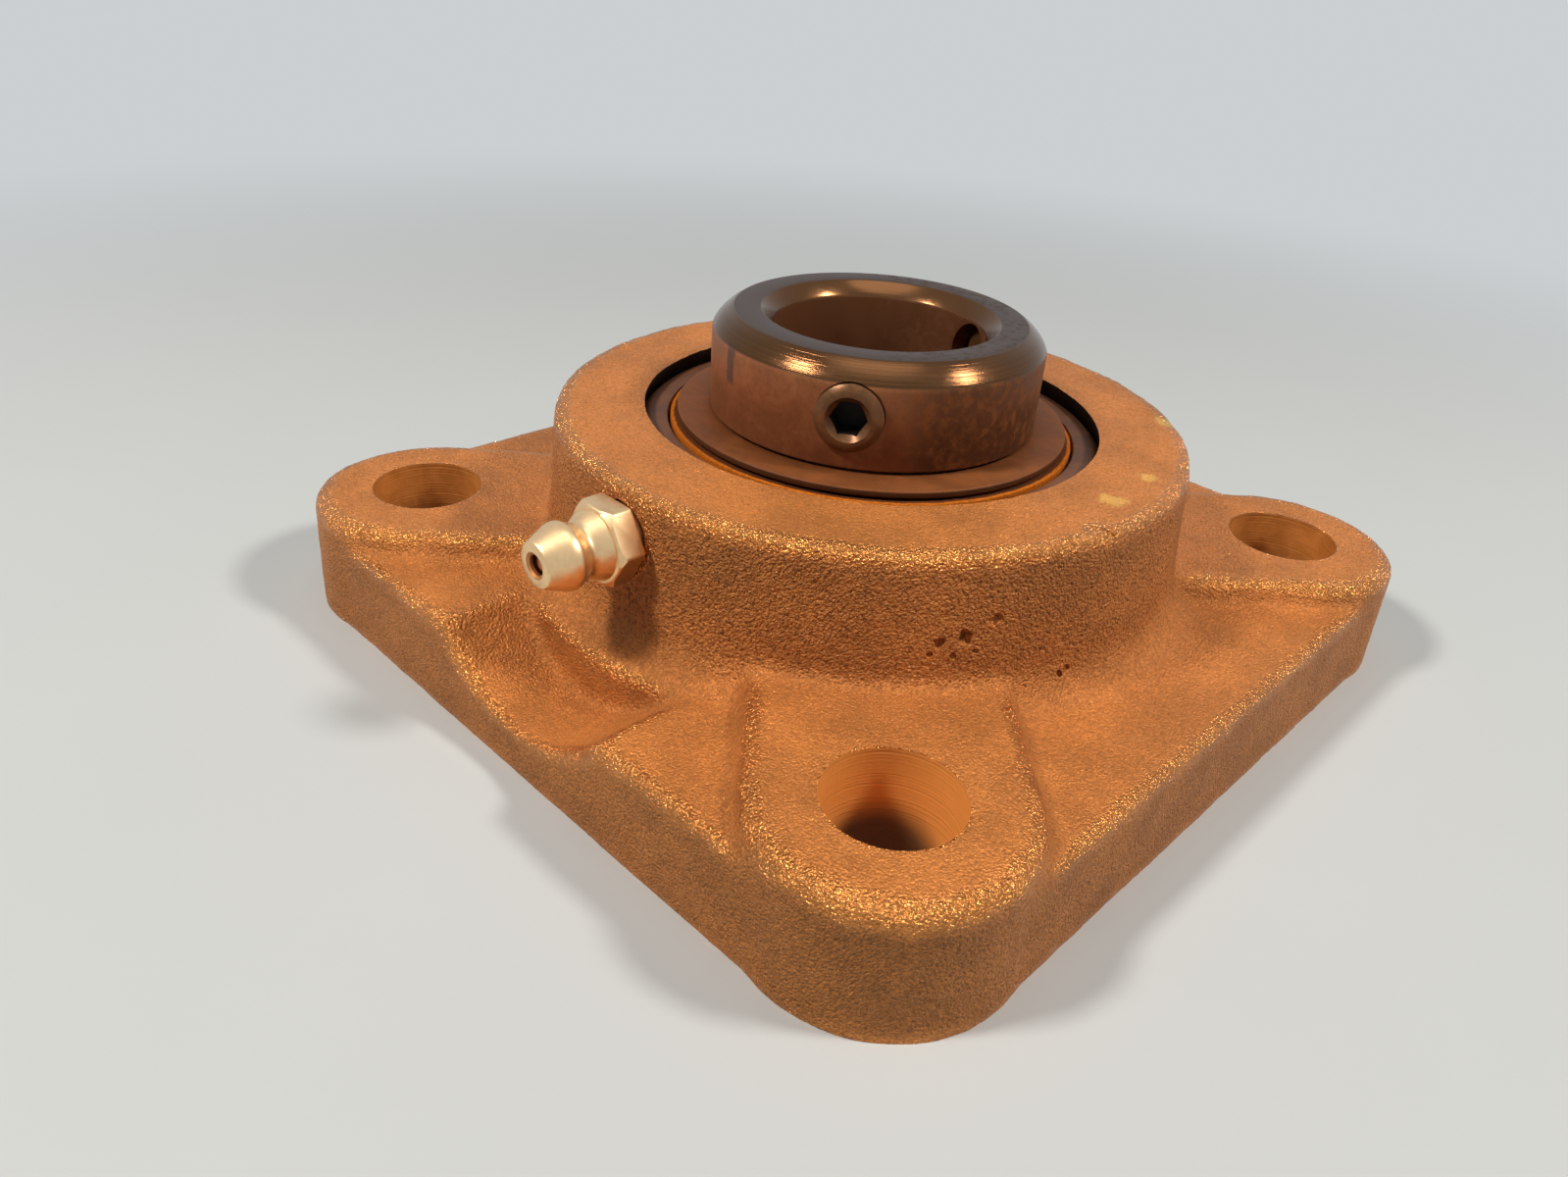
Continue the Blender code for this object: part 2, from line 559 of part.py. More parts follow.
def build_fitting(material, ball_material, spring_material):
    """Grease fitting: hexagon, cone, neck and coupler head, with a sprung check ball behind its mouth."""
    frame = spoke_frame(-pi / 2, FITTING_HEIGHT)
    base = FITTING_SEAT
    thread_end = base - FITTING_THREAD_LENGTH
    hex_round = FITTING_HEX_FLATS / 2
    outline = [
        (0, thread_end), (FITTING_THREAD_RADIUS, thread_end), (FITTING_THREAD_RADIUS, base),
        (hex_round - FITTING_HEX_CHAMFER, base), (hex_round - FITTING_HEX_CHAMFER, base + FITTING_HEX_HEIGHT),
        (FITTING_NECK_RADIUS, base + FITTING_CONE_TOP), (FITTING_NECK_RADIUS, base + FITTING_NECK_TOP),
        (FITTING_HEAD_RADIUS, base + FITTING_HEAD_BASE), (FITTING_HEAD_RADIUS, base + FITTING_HEAD_TOP),
        (FITTING_TIP_RADIUS, base + FITTING_TOP), (0, base + FITTING_TOP),
    ]
    body = turned("grease_fitting", outline, material, steps=2 * TINY_STEPS)
    body.matrix_world = frame
    hexagon = hex_prism("join_hexagon", FITTING_HEX_FLATS, base, base + FITTING_HEX_HEIGHT)
    hexagon.matrix_world = frame
    corner = FITTING_HEX_FLATS / sqrt(3)
    over = FITTING_HEX_CHAMFER / 6  # keeps the trim's ends off the hexagon's
    trim = turned(
        "cut_hexagon_corners",
        [
            (0, base - over), (corner, base - over),
            (corner, base + FITTING_HEX_HEIGHT - FITTING_HEX_CHAMFER),
            (hex_round, base + FITTING_HEX_HEIGHT + over), (0, base + FITTING_HEX_HEIGHT + over),
        ],
        steps=2 * SMALL_STEPS,
    )
    trim.matrix_world = frame
    boolean(hexagon, trim, "INTERSECT")
    boolean(body, hexagon, "UNION")
    mouth = base + FITTING_TOP - FITTING_MOUTH_DEPTH
    cone = FITTING_BORE_RADIUS - FITTING_MOUTH_RADIUS
    ball_centre = mouth - cone - CHECK_BALL_RADIUS / 2
    spring_top = ball_centre - CHECK_BALL_RADIUS - RUNNING_GAP - SPRING_WIRE_RADIUS
    ledge = spring_top - SPRING_TURNS * SPRING_PITCH - SPRING_WIRE_RADIUS - FACE_GAP
    bore = turned(
        "cut_fitting_bore",
        [
            (0, 2 * thread_end - base), (FITTING_INLET_RADIUS, 2 * thread_end - base),
            (FITTING_INLET_RADIUS, ledge),
            (FITTING_BORE_RADIUS, ledge), (FITTING_BORE_RADIUS, mouth - cone),
            (FITTING_MOUTH_RADIUS, mouth), (FITTING_MOUTH_RADIUS, mouth + FITTING_HEX_FLATS),
            (0, mouth + FITTING_HEX_FLATS),
        ],
        steps=2 * TINY_STEPS,
    )
    bore.matrix_world = frame
    boolean(body, bore, "DIFFERENCE")
    bm = bmesh.new()
    bmesh.ops.create_uvsphere(bm, u_segments=BALL_STEPS, v_segments=TINY_STEPS, radius=CHECK_BALL_RADIUS)
    ball = finish_object("check_ball", bm, ball_material)
    ball.location = frame @ Vector((0, 0, ball_centre))
    build_spring(spring_material, frame, spring_top)


def build_spring(material, frame, top):
    """The check ball's compression spring, one open coil."""
    curve = bpy.data.curves.new("check_spring", "CURVE")
    curve.dimensions = "3D"
    curve.bevel_depth = SPRING_WIRE_RADIUS
    curve.bevel_resolution = 0
    curve.use_fill_caps = True
    count = SPRING_TURNS * SPRING_TURN_POINTS + 1
    spline = curve.splines.new("POLY")
    spline.points.add(count - 1)
    for i, point in enumerate(spline.points):
        turn = i / SPRING_TURN_POINTS
        angle = tau * turn
        point.co = (SPRING_RADIUS * cos(angle), SPRING_RADIUS * sin(angle), top - SPRING_PITCH * turn, 1)
    curve.materials.append(material)
    spring = bpy.data.objects.new("check_spring", curve)
    spring.matrix_world = frame
    bpy.context.scene.collection.objects.link(spring)
    print("least gap between the spring's turns, mm:", round((SPRING_PITCH - 2 * SPRING_WIRE_RADIUS) / MM, 3))


def main():
    clear_scene()
    cast_iron = make_material("cast_iron", (0.30, 0.20, 0.125), 0.62, 0.6)
    ring_steel = make_material("ring_steel", (0.16, 0.12, 0.10), 0.4, 0.9)
    blackened = make_material("blackened_steel", (0.17, 0.11, 0.08), 0.38, 0.85)
    bright_steel = make_material("bright_steel", (0.72, 0.70, 0.67), 0.2, 1.0)
    zinc = make_material("zinc_plate", (0.78, 0.74, 0.66), 0.25, 1.0)
    felt = make_material("felt", (0.62, 0.24, 0.05), 0.95, 0.0)
    red_ball = make_material("check_ball_steel", (0.55, 0.22, 0.14), 0.3, 0.8)

    build_housing(cast_iron)
    centre = axis_empty("insert_centre", (0, 0, INSERT_HEIGHT))
    shaft_axis = axis_empty("shaft_axis", (0, 0, 0), centre)
    cage_axis = axis_empty("cage_axis", (0, 0, 0), centre)
    build_outer_ring(ring_steel, centre)
    build_inner_ring(blackened, shaft_axis)
    build_set_screws(blackened, shaft_axis)
    build_balls(bright_steel, cage_axis)
    build_cage(bright_steel, bright_steel, cage_axis)
    build_seals(ring_steel, felt, centre, shaft_axis)
    build_fitting(zinc, red_ball, bright_steel)


main()
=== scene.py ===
"""Looks of a four-bolt flange mount bearing: sand-cast housing, turned rings, felt seals, grease fitting."""

from math import cos, pi, radians, sin, sqrt, tau

import bmesh
import bpy
from bpy.props import FloatProperty, FloatVectorProperty, IntProperty, PointerProperty
from mathutils import Matrix, Quaternion, Vector, noise


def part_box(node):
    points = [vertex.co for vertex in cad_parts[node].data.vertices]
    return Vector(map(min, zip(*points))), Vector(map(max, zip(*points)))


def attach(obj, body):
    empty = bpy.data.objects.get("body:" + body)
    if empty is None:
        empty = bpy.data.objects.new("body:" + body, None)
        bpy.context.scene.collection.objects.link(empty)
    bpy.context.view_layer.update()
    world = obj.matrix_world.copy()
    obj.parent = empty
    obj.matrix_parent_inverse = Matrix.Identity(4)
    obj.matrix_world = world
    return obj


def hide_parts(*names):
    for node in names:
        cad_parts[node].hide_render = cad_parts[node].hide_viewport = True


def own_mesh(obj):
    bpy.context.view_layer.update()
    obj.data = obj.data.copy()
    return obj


bl_info = {
    "name": "Flange Bearing Dresser",
    "version": (1, 0, 0),
    "blender": (4, 5, 0),
    "location": "View3D > Sidebar > Bearing",
    "description": "Dresses the packed flange bearing: cast housing, turned steel, felt and plated pieces",
    "category": "Object",
}

MM = 0.001
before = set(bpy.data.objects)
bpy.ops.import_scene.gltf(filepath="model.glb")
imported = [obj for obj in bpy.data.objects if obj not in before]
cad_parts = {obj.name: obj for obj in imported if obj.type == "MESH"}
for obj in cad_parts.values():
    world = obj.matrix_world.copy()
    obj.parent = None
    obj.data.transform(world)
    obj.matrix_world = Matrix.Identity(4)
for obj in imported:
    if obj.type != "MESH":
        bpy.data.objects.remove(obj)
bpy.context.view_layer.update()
_, HOUSING_HIGH = (Vector(corner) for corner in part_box("housing"))
RING_LOW, RING_HIGH = (Vector(corner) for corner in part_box("inner_ring"))
OUTER_LOW, OUTER_HIGH = (Vector(corner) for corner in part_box("outer_ring"))
CENTRE_HEIGHT = (OUTER_LOW.z + OUTER_HIGH.z) / 2

# Sizes that follow the CAD
HUB_LEAN = 0.085
SIDE_LEAN = 0.045
HUB_BASE = 4.0 * MM
FOOT_FLARE = 4.0 * MM
RECESS_RADIUS = 29.5 * MM
RECESS_DEPTH = 3.6 * MM
RELIEF_RADIUS = 16.1 * MM
TAPPED_RADIUS = 3.4 * MM
SCREW_HEIGHT = 30.75 * MM
SCREW_ANGLES = (-57, 63)
PITCH_RADIUS = 19.25 * MM
GROOVE_RADIUS = 4.269 * MM
BALL_RADIUS = 3.969 * MM
GREASE_GROOVE = 4.5 * MM
CAST_BELOW = -3.0 * MM  # the casting starts lower and is ground flat at the mounting face


# Settings a user would change

def length(name, description, millimetres):
    """A length property."""
    return FloatProperty(name=name, description=description, default=millimetres * MM, unit="LENGTH")


def tint(name, description, default):
    """A colour property."""
    return FloatVectorProperty(name=name, description=description, subtype="COLOR", size=3, default=default)


class CastingSettings(bpy.types.PropertyGroup):
    """Sizes and colours of the cast housing."""

    bolt_offset: length("Bolt offset", "Bolt hole centres from the middle, along X and Y", 34.925)
    hole_radius: length("Bolt hole radius", "Drilled radius of each bolt hole", 5.95)
    pad_height: length("Pad height", "Top of the bolt pads above the mounting face", 12.7)
    web_height: length("Web height", "Top of the flange between the arms", 10.2)
    corner_radius: length("Corner radius", "Round end of each arm about its hole", 12.7)
    hub_radius: length("Hub radius", "Hub at its upper edge", 33.9)
    voxel: length("Skin cell", "Cell size of the cast skin", 0.56)
    rounding: IntProperty(
        name="Rounding", description="Smoothing passes that round the cast edges", default=10, min=0
    )
    colour: tint("Casting", "Lit colour of the cast skin", (0.58, 0.207, 0.048))
    # Painted shade in the pits of the cast skin; the same colour draws the dark tool lines in the drilled
    # holes.
    dark: tint("Casting pit shade", "Painted shade in the pits of the cast skin, and dark tool lines", (0.23, 0.075, 0.020))
    # Partly wear, partly a painted highlight: paler grains along the rubbed edges.
    glint: tint("Worn grains and painted glints", "Bare grains along rubbed edges, lightened as a painted highlight", (0.90, 0.46, 0.17))
    # Partly old grease, partly painted shade of the gap round the outer ring, on the seat wall.
    grease: tint("Seat grease", "Old grease and painted shade on the wall of the bearing seat", (0.022, 0.013, 0.010))


class SteelSettings(bpy.types.PropertyGroup):
    """Sizes and colours of the turned pieces."""

    steps: IntProperty(
        name="Turning steps", description="Facets round each turned piece", default=144, min=24
    )
    edge: length("Edge break", "Rounding of turned edges", 0.2)
    ring: tint("Oxide ring", "Side of the wide inner ring", (0.34, 0.125, 0.050))
    # Dark oxide, tinted blue-grey as a painted reflection.
    ring_top: tint("Oxide end and painted reflection", "Dark oxide end face, blue-grey as a painted reflection", (0.070, 0.050, 0.045))
    bevel: tint("Turned bevel", "Bright turned bevel", (0.145, 0.066, 0.028))
    race: tint("Outer ring", "Dark ground bearing steel", (0.16, 0.062, 0.028))
    flinger: tint("Flinger", "Dull pressed steel", (0.19, 0.060, 0.016))
    felt: tint("Felt", "Grease-soaked felt", (0.66, 0.17, 0.014))


class FittingSettings(bpy.types.PropertyGroup):
    """Sizes and colour of the grease fitting."""

    height: length("Height", "Axis above the mounting face", 20.6)
    seat: length("Seat", "Foot of the hexagon from the shaft axis", 34.6165)
    flats: length("Hexagon", "Across the flats", 7.5)
    # The zinc is tinted warm as a painted reflection of the orange casting and warm lamps.
    colour: tint("Zinc and warm reflection", "Bright zinc plate", (0.95, 0.65, 0.35))


class StageSettings(bpy.types.PropertyGroup):
    """Camera, floor and lamps."""

    eye: FloatVectorProperty(
        name="Eye", description="Place of the camera", subtype="TRANSLATION", size=3,
        default=(73.206 * MM, -89.897 * MM, 69.266 * MM),
    )
    heading: FloatVectorProperty(
        name="Heading", description="Direction the camera looks", subtype="DIRECTION", size=3,
        default=(-0.58989, 0.62998, -0.50513),
    )
    roll: FloatProperty(
        name="Roll", description="Tilt of the horizon", subtype="ANGLE", default=radians(4.2257)
    )
    focal: FloatProperty(
        name="Focal length", description="Lens in millimetres on a 36 mm sensor", default=25.585
    )
    floor: tint("Floor", "Pale floor", (0.56, 0.60, 0.62))
    backdrop: tint("Backdrop", "Pale tone behind the object", (0.60, 0.625, 0.64))


# Mesh helpers

def in_mm(points, lift=0.0):
    """An outline given in millimetres, raised by a height in metres."""
    return [(r * MM, lift + z * MM) for r, z in points]


def spun(profile, steps):
    """The closed outline (r, z) turned once round Z."""
    bm = bmesh.new()
    verts = [bm.verts.new((r, 0, z)) for r, z in profile]
    edges = [bm.edges.new(pair) for pair in zip(verts, verts[1:] + verts[:1])]
    bmesh.ops.spin(
        bm, geom=verts + edges, cent=(0, 0, 0), axis=(0, 0, 1), angle=tau, steps=steps, use_merge=True
    )
    bmesh.ops.remove_doubles(bm, verts=bm.verts, dist=1e-7)
    bmesh.ops.dissolve_degenerate(bm, edges=bm.edges, dist=1e-7)
    bmesh.ops.recalc_face_normals(bm, faces=bm.faces)
    return bm


def break_edges(bm, width, segments=2, least_angle=radians(25)):
    """Rounds every edge sharper than least_angle."""
    edges = [edge for edge in bm.edges if edge.is_manifold and edge.calc_face_angle() > least_angle]
    bmesh.ops.bevel(
        bm, geom=edges, offset=width, offset_type="OFFSET", segments=segments, profile=0.5,
        affect="EDGES", clamp_overlap=True, material=-1,
    )


def cylinder(radius, low, high, steps, end_radius=None):
    """A closed bar along Z."""
    bm = bmesh.new()
    bmesh.ops.create_cone(
        bm, cap_ends=True, segments=steps, radius1=radius, radius2=end_radius or radius, depth=high - low
    )
    bmesh.ops.translate(bm, vec=(0, 0, (low + high) / 2), verts=bm.verts)
    return bm


def ball_of(node_corners, u_segments, v_segments, radius):
    """A sphere in the middle of a CAD node's box."""
    low, high = node_corners
    bm = bmesh.new()
    bmesh.ops.create_uvsphere(bm, u_segments=u_segments, v_segments=v_segments, radius=radius)
    return placed(bm, Matrix.Translation((low + high) / 2))


def coil(radius, wire, pitch, turns, sides=10, steps=24):
    """A round wire wound along Z, closed at both ends."""
    bm = bmesh.new()
    bmesh.ops.create_circle(bm, cap_ends=False, segments=sides, radius=wire)
    bmesh.ops.rotate(bm, cent=(0, 0, 0), matrix=Matrix.Rotation(pi / 2, 3, "X"), verts=bm.verts)
    bmesh.ops.translate(bm, vec=(radius, 0, 0), verts=bm.verts)
    bmesh.ops.spin(
        bm, geom=bm.verts[:] + bm.edges[:], cent=(0, 0, 0), axis=(0, 0, 1), dvec=(0, 0, pitch / steps),
        angle=tau * turns, steps=steps * turns, use_merge=False,
    )
    bmesh.ops.holes_fill(bm, edges=[edge for edge in bm.edges if edge.is_boundary])
    bmesh.ops.recalc_face_normals(bm, faces=bm.faces)
    return bm


def spoke(angle, height):
    """Turns +Z outwards along a spoke at an angle, at a height."""
    outwards = Matrix.Rotation(angle, 4, "Z") @ Matrix.Rotation(pi / 2, 4, "Y")
    return Matrix.Translation((0, 0, height)) @ outwards


def placed(bm, matrix):
    """The shape moved by a matrix."""
    bmesh.ops.transform(bm, matrix=matrix, verts=bm.verts)
    return bm


def joined(parts):
    """Several closed shapes in one mesh, without joining their walls."""
    whole = bmesh.new()
    for part in parts:
        mesh = bpy.data.meshes.new("part")
        part.to_mesh(mesh)
        part.free()
        whole.from_mesh(mesh)
        bpy.data.meshes.remove(mesh)
    return whole


def smooth(mesh, crease=35):
    """Shades a mesh smooth, except at edges sharper than the crease."""
    mesh.shade_smooth()
    mesh.set_sharp_from_angle(angle=radians(crease))


def make_object(name, bm, materials=()):
    """An object from a shape, at the origin."""
    mesh = bpy.data.meshes.new(name)
    bm.to_mesh(mesh)
    bm.free()
    for material in materials:
        mesh.materials.append(material)
    smooth(mesh)
    obj = bpy.data.objects.new(name, mesh)
    bpy.context.scene.collection.objects.link(obj)
    return obj


def add_boolean(obj, shape, operation="DIFFERENCE"):
    """Adds a cut or a join by a closed shape, and returns the shape's helper object."""
    helper = shape if isinstance(shape, bpy.types.Object) else make_object("helper", shape)
    modifier = obj.modifiers.new(operation.lower(), "BOOLEAN")
    modifier.operation = operation
    modifier.solver = "MANIFOLD"
    modifier.object = helper
    return helper


def settle(obj, helpers):
    """Applies the modifiers and removes the helper objects."""
    depsgraph = bpy.context.evaluated_depsgraph_get()
    mesh = bpy.data.meshes.new_from_object(obj.evaluated_get(depsgraph))
    obj.modifiers.clear()
    old, obj.data = obj.data, mesh
    bpy.data.meshes.remove(old)
    for helper in helpers:
        helper_mesh = helper.data
        bpy.data.objects.remove(helper)
        bpy.data.meshes.remove(helper_mesh)
    if not len(mesh.polygons):
        raise RuntimeError(f"{obj.name} came out empty")
    smooth(mesh)


def fit_out(obj, body, slot, *nodes):
    """The piece moves with a body and stands for CAD nodes; the slot is not used."""
    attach(obj, body)
    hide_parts(*nodes)


def finish_node(node, material):
    """Gives a CAD node that keeps its mesh a finished material."""
    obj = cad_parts[node]
    obj.data.materials.clear()
    obj.data.materials.append(material)


# Shader helpers

def scaled(colour, factor):
    """A colour made lighter or darker."""
    return tuple(min(1.0, c * factor) for c in colour)


class Shading:
    """Adds nodes to one tree and joins them."""

    def __init__(self, tree):
        self.tree = tree

    def put(self, socket, value):
        if isinstance(value, bpy.types.NodeSocket):
            self.tree.links.new(value, socket)
        elif hasattr(socket.default_value, "__len__") and len(socket.default_value) == 4:
            socket.default_value = (*value, 1) if len(value) == 3 else value
        else:
            socket.default_value = value

    def add(self, kind, inputs=None, **settings):
        node = self.tree.nodes.new(kind)
        for name, value in settings.items():
            setattr(node, name, value)
        for name, value in (inputs or {}).items():
            self.put(node.inputs[name], value)
        return node

    def math(self, operation, a, b=0.0, clamp=False):
        return self.add("ShaderNodeMath", {0: a, 1: b}, operation=operation, use_clamp=clamp).outputs[0]

    def plus(self, a, b):
        return self.math("ADD", a, b)

    def minus(self, a, b):
        return self.math("SUBTRACT", a, b)

    def times(self, a, b):
        return self.math("MULTIPLY", a, b)

    def most(self, a, b):
        return self.math("MAXIMUM", a, b)

    def vector_math(self, operation, inputs, output=0):
        return self.add("ShaderNodeVectorMath", inputs, operation=operation).outputs[output]

    def mix(self, factor, a, b):
        return self.add("ShaderNodeMix", {0: factor, 6: a, 7: b}, data_type="RGBA").outputs[2]

    def step(self, value, low, high):
        """0 below low, 1 above high, smooth between."""
        return self.add(
            "ShaderNodeMapRange", {0: value, 1: low, 2: high}, interpolation_type="SMOOTHSTEP"
        ).outputs[0]

    def near(self, place, spot, far, full, ragged=0.0):
        """1 within full of a spot, 0 beyond far, in millimetres."""
        away = self.vector_math("DISTANCE", {0: place, 1: [c * MM for c in spot]}, "Value")
        return self.step(self.plus(away, ragged), far * MM, full * MM)

    def noise(self, vector, scale, detail=3.0, roughness=0.55, distortion=0.0):
        inputs = {"Vector": vector, "Scale": scale, "Detail": detail, "Roughness": roughness}
        return self.add("ShaderNodeTexNoise", {**inputs, "Distortion": distortion}).outputs["Fac"]

    def bump(self, height, strength, distance):
        inputs = {"Strength": strength, "Distance": distance, "Height": height}
        return self.add("ShaderNodeBump", inputs).outputs[0]

    def place(self):
        return self.add("ShaderNodeTexCoord").outputs["Object"]

    def parts(self, vector):
        return self.add("ShaderNodeSeparateXYZ", {0: vector}).outputs

    def attribute(self, name):
        return self.add("ShaderNodeAttribute", attribute_name=name).outputs["Fac"]

    def use(self, make, **inputs):
        """Places a shared node group, which is made at its first use."""
        label = make.__name__.replace("_", " ").capitalize()
        node = self.add("ShaderNodeGroup", node_tree=bpy.data.node_groups.get(label) or make(label))
        for name, value in inputs.items():
            self.put(node.inputs[name], value)
        return node.outputs


def new_group(name, inputs, outputs):
    """An empty shader node group with its sockets, and its input and output nodes."""
    tree = bpy.data.node_groups.new(name, "ShaderNodeTree")
    for label, kind, default in inputs:
        socket = tree.interface.new_socket(label, in_out="INPUT", socket_type=kind)
        if default is not None:
            socket.default_value = default
    for label in outputs:
        tree.interface.new_socket(label, in_out="OUTPUT", socket_type="NodeSocketFloat")
    shade = Shading(tree)
    return shade, shade.add("NodeGroupInput").outputs, shade.add("NodeGroupOutput").inputs


def sand_grain(name):
    """Grain of a sand mould: a height, its pits, a slow tone and a random value for each grain."""
    shade, given, out = new_group(
        name, (("Vector", "NodeSocketVector", None), ("Size", "NodeSocketFloat", 0.4 * MM)),
        ("Height", "Pit", "Tone", "Grain"),
    )
    vector, size = given["Vector"], given["Size"]
    scale = shade.math("DIVIDE", 1.0, size)
    bent = shade.add("ShaderNodeTexNoise", {"Vector": vector, "Scale": scale, "Detail": 1.0})
    shift = shade.vector_math("SUBTRACT", {0: bent.outputs["Color"], 1: (0.5, 0.5, 0.5)})
    reach = shade.vector_math("SCALE", {0: shift, "Scale": size})
    place = shade.vector_math("ADD", {0: vector, 1: reach})
    cells = shade.add(
        "ShaderNodeTexVoronoi", {"Vector": place, "Scale": scale, "Smoothness": 0.3}, feature="SMOOTH_F1"
    ).outputs
    uneven = shade.noise(vector, shade.times(scale, 0.55), 4.0, 0.62)
    crown = shade.minus(0.75, cells["Distance"])
    shade.put(out["Height"], shade.plus(shade.times(crown, 0.85), shade.times(uneven, 0.45)))
    pocks = shade.noise(place, shade.times(scale, 0.9), 2.0, 0.6)
    shade.put(out["Pit"], shade.step(pocks, 0.47, 0.34))
    shade.put(out["Tone"], shade.noise(vector, shade.times(scale, 0.04), 4.0, 0.6))
    shade.put(out["Grain"], shade.add("ShaderNodeSeparateColor", {0: cells["Color"]}).outputs[0])
    return shade.tree


def lathe_lines(name):
    """Fine rings left by a turning tool about Z: a height, a tone, and the radius and level."""
    shade, given, out = new_group(
        name, (("Vector", "NodeSocketVector", None), ("Pitch", "NodeSocketFloat", 0.15 * MM)),
        ("Height", "Tone", "Radius", "Level"),
    )
    parts = shade.parts(given["Vector"])
    flat = shade.add("ShaderNodeCombineXYZ", {0: parts[0], 1: parts[1]}).outputs[0]
    radius = shade.vector_math("LENGTH", {0: flat}, "Value")
    along = shade.add("ShaderNodeCombineXYZ", {0: radius, 1: parts[2]}).outputs[0]
    scale = shade.math("DIVIDE", 1.0, given["Pitch"])
    shade.put(out["Height"], shade.noise(along, scale, 2.0, 0.6))
    shade.put(out["Tone"], shade.noise(along, shade.times(scale, 0.45), 3.0, 0.6))
    shade.put(out["Radius"], radius)
    shade.put(out["Level"], parts[2])
    return shade.tree


def handling_smear(name):
    """Blotches and fine scratches of handled metal."""
    shade, given, out = new_group(
        name, (("Vector", "NodeSocketVector", None), ("Size", "NodeSocketFloat", 4 * MM)),
        ("Blotch", "Scratch"),
    )
    scale = shade.math("DIVIDE", 1.0, given["Size"])
    shade.put(out["Blotch"], shade.noise(given["Vector"], scale, 6.0, 0.65, 0.6))
    mapping = {"Vector": given["Vector"], "Rotation": (0.4, 0.7, 0.3), "Scale": (1.0, 14.0, 9.0)}
    stretched = shade.add("ShaderNodeMapping", mapping).outputs[0]
    scratch = shade.noise(stretched, shade.times(scale, 1.5), 4.0, 0.7)
    shade.put(out["Scratch"], shade.step(scratch, 0.56, 0.68))
    return shade.tree


def new_material(name, roughness, metallic, specular=0.5):
    """A material, the helper that adds to it and its Principled shader's inputs."""
    material = bpy.data.materials.new(name)
    material.use_nodes = True
    shader = material.node_tree.nodes["Principled BSDF"].inputs
    shader["Roughness"].default_value = roughness
    shader["Metallic"].default_value = metallic
    shader["Specular IOR Level"].default_value = specular
    return material, Shading(material.node_tree), shader


def paint_smudges(shade, place, colour):
    """Faint yellow smudges of crayon on the hub's face."""
    ragged = shade.times(shade.noise(place, 900.0, 4.0, 0.75), 3.0 * MM)
    for x, y, size in ((29.9, 0.6, 3.2), (29.4, 8.2, 2.7), (22.8, 23.8, 3.2)):
        share = shade.near(place, (x, y, HOUSING_HIGH.z / MM), size, size - 0.8, ragged)
        colour = shade.mix(shade.times(share, 0.6), colour, (0.86, 0.52, 0.12))
    return colour


def casting_material(settings):
    """Bronze-brown cast skin: sand grain, pits on the walls darkened as painted shade, and grains along the
    edges that sparkle, partly through a painted highlight.
    """
    material, shade, shader = new_material("cast skin", 0.5, 0.15, 0.3)
    place = shade.place()
    fine = shade.use(sand_grain, Vector=place, Size=0.22 * MM)
    coarse = shade.use(sand_grain, Vector=place, Size=0.32 * MM)
    wear, wall = shade.attribute("wear"), shade.attribute("rough_skin")
    base = settings.colour
    colour = shade.mix(shade.step(coarse["Tone"], 0.34, 0.66), scaled(base, 0.84), scaled(base, 1.14))
    colour = shade.mix(shade.times(shade.step(fine["Grain"], 0.45, 1.0), 0.45), colour, scaled(base, 0.5))
    colour = shade.mix(shade.times(shade.step(coarse["Grain"], 0.65, 1.0), 0.30), colour, scaled(base, 1.5))
    # Painted shade: the pits are darkened, most strongly on the walls.
    pits = shade.times(coarse["Pit"], shade.times(wall, 0.95))
    pits = shade.most(pits, shade.times(fine["Pit"], 0.3))
    colour = shade.mix(pits, colour, settings.dark)
    # Rubbed edges get paler grains: partly wear, partly a painted highlight.
    rubbed = shade.step(wear, 0.07, 0.34)
    bare = shade.times(rubbed, shade.step(coarse["Height"], 0.42, 0.60))
    wear_and_glint = shade.plus(shade.times(bare, 0.2), shade.times(rubbed, 0.04))
    colour = shade.mix(wear_and_glint, colour, settings.glint)
    shade.put(shader["Base Color"], paint_smudges(shade, place, colour))
    rough = shade.plus(0.38, shade.times(fine["Grain"], 0.22))
    rough = shade.plus(rough, shade.times(pits, 0.3))
    gloss = shade.plus(shade.times(bare, 0.12), shade.times(rubbed, 0.22))
    shade.put(shader["Roughness"], shade.minus(rough, gloss))
    metal = shade.plus(shade.times(bare, 0.3), shade.times(rubbed, 0.5))
    metal = shade.plus(shade.minus(0.42, shade.times(wall, 0.28)), metal)
    shade.put(shader["Metallic"], shade.math("SUBTRACT", metal, shade.times(pits, 0.12), True))
    slow = shade.times(coarse["Height"], shade.plus(0.35, wall))
    shade.put(shader["Normal"], shade.bump(shade.plus(fine["Height"], slow), 0.9, 0.20 * MM))
    return material


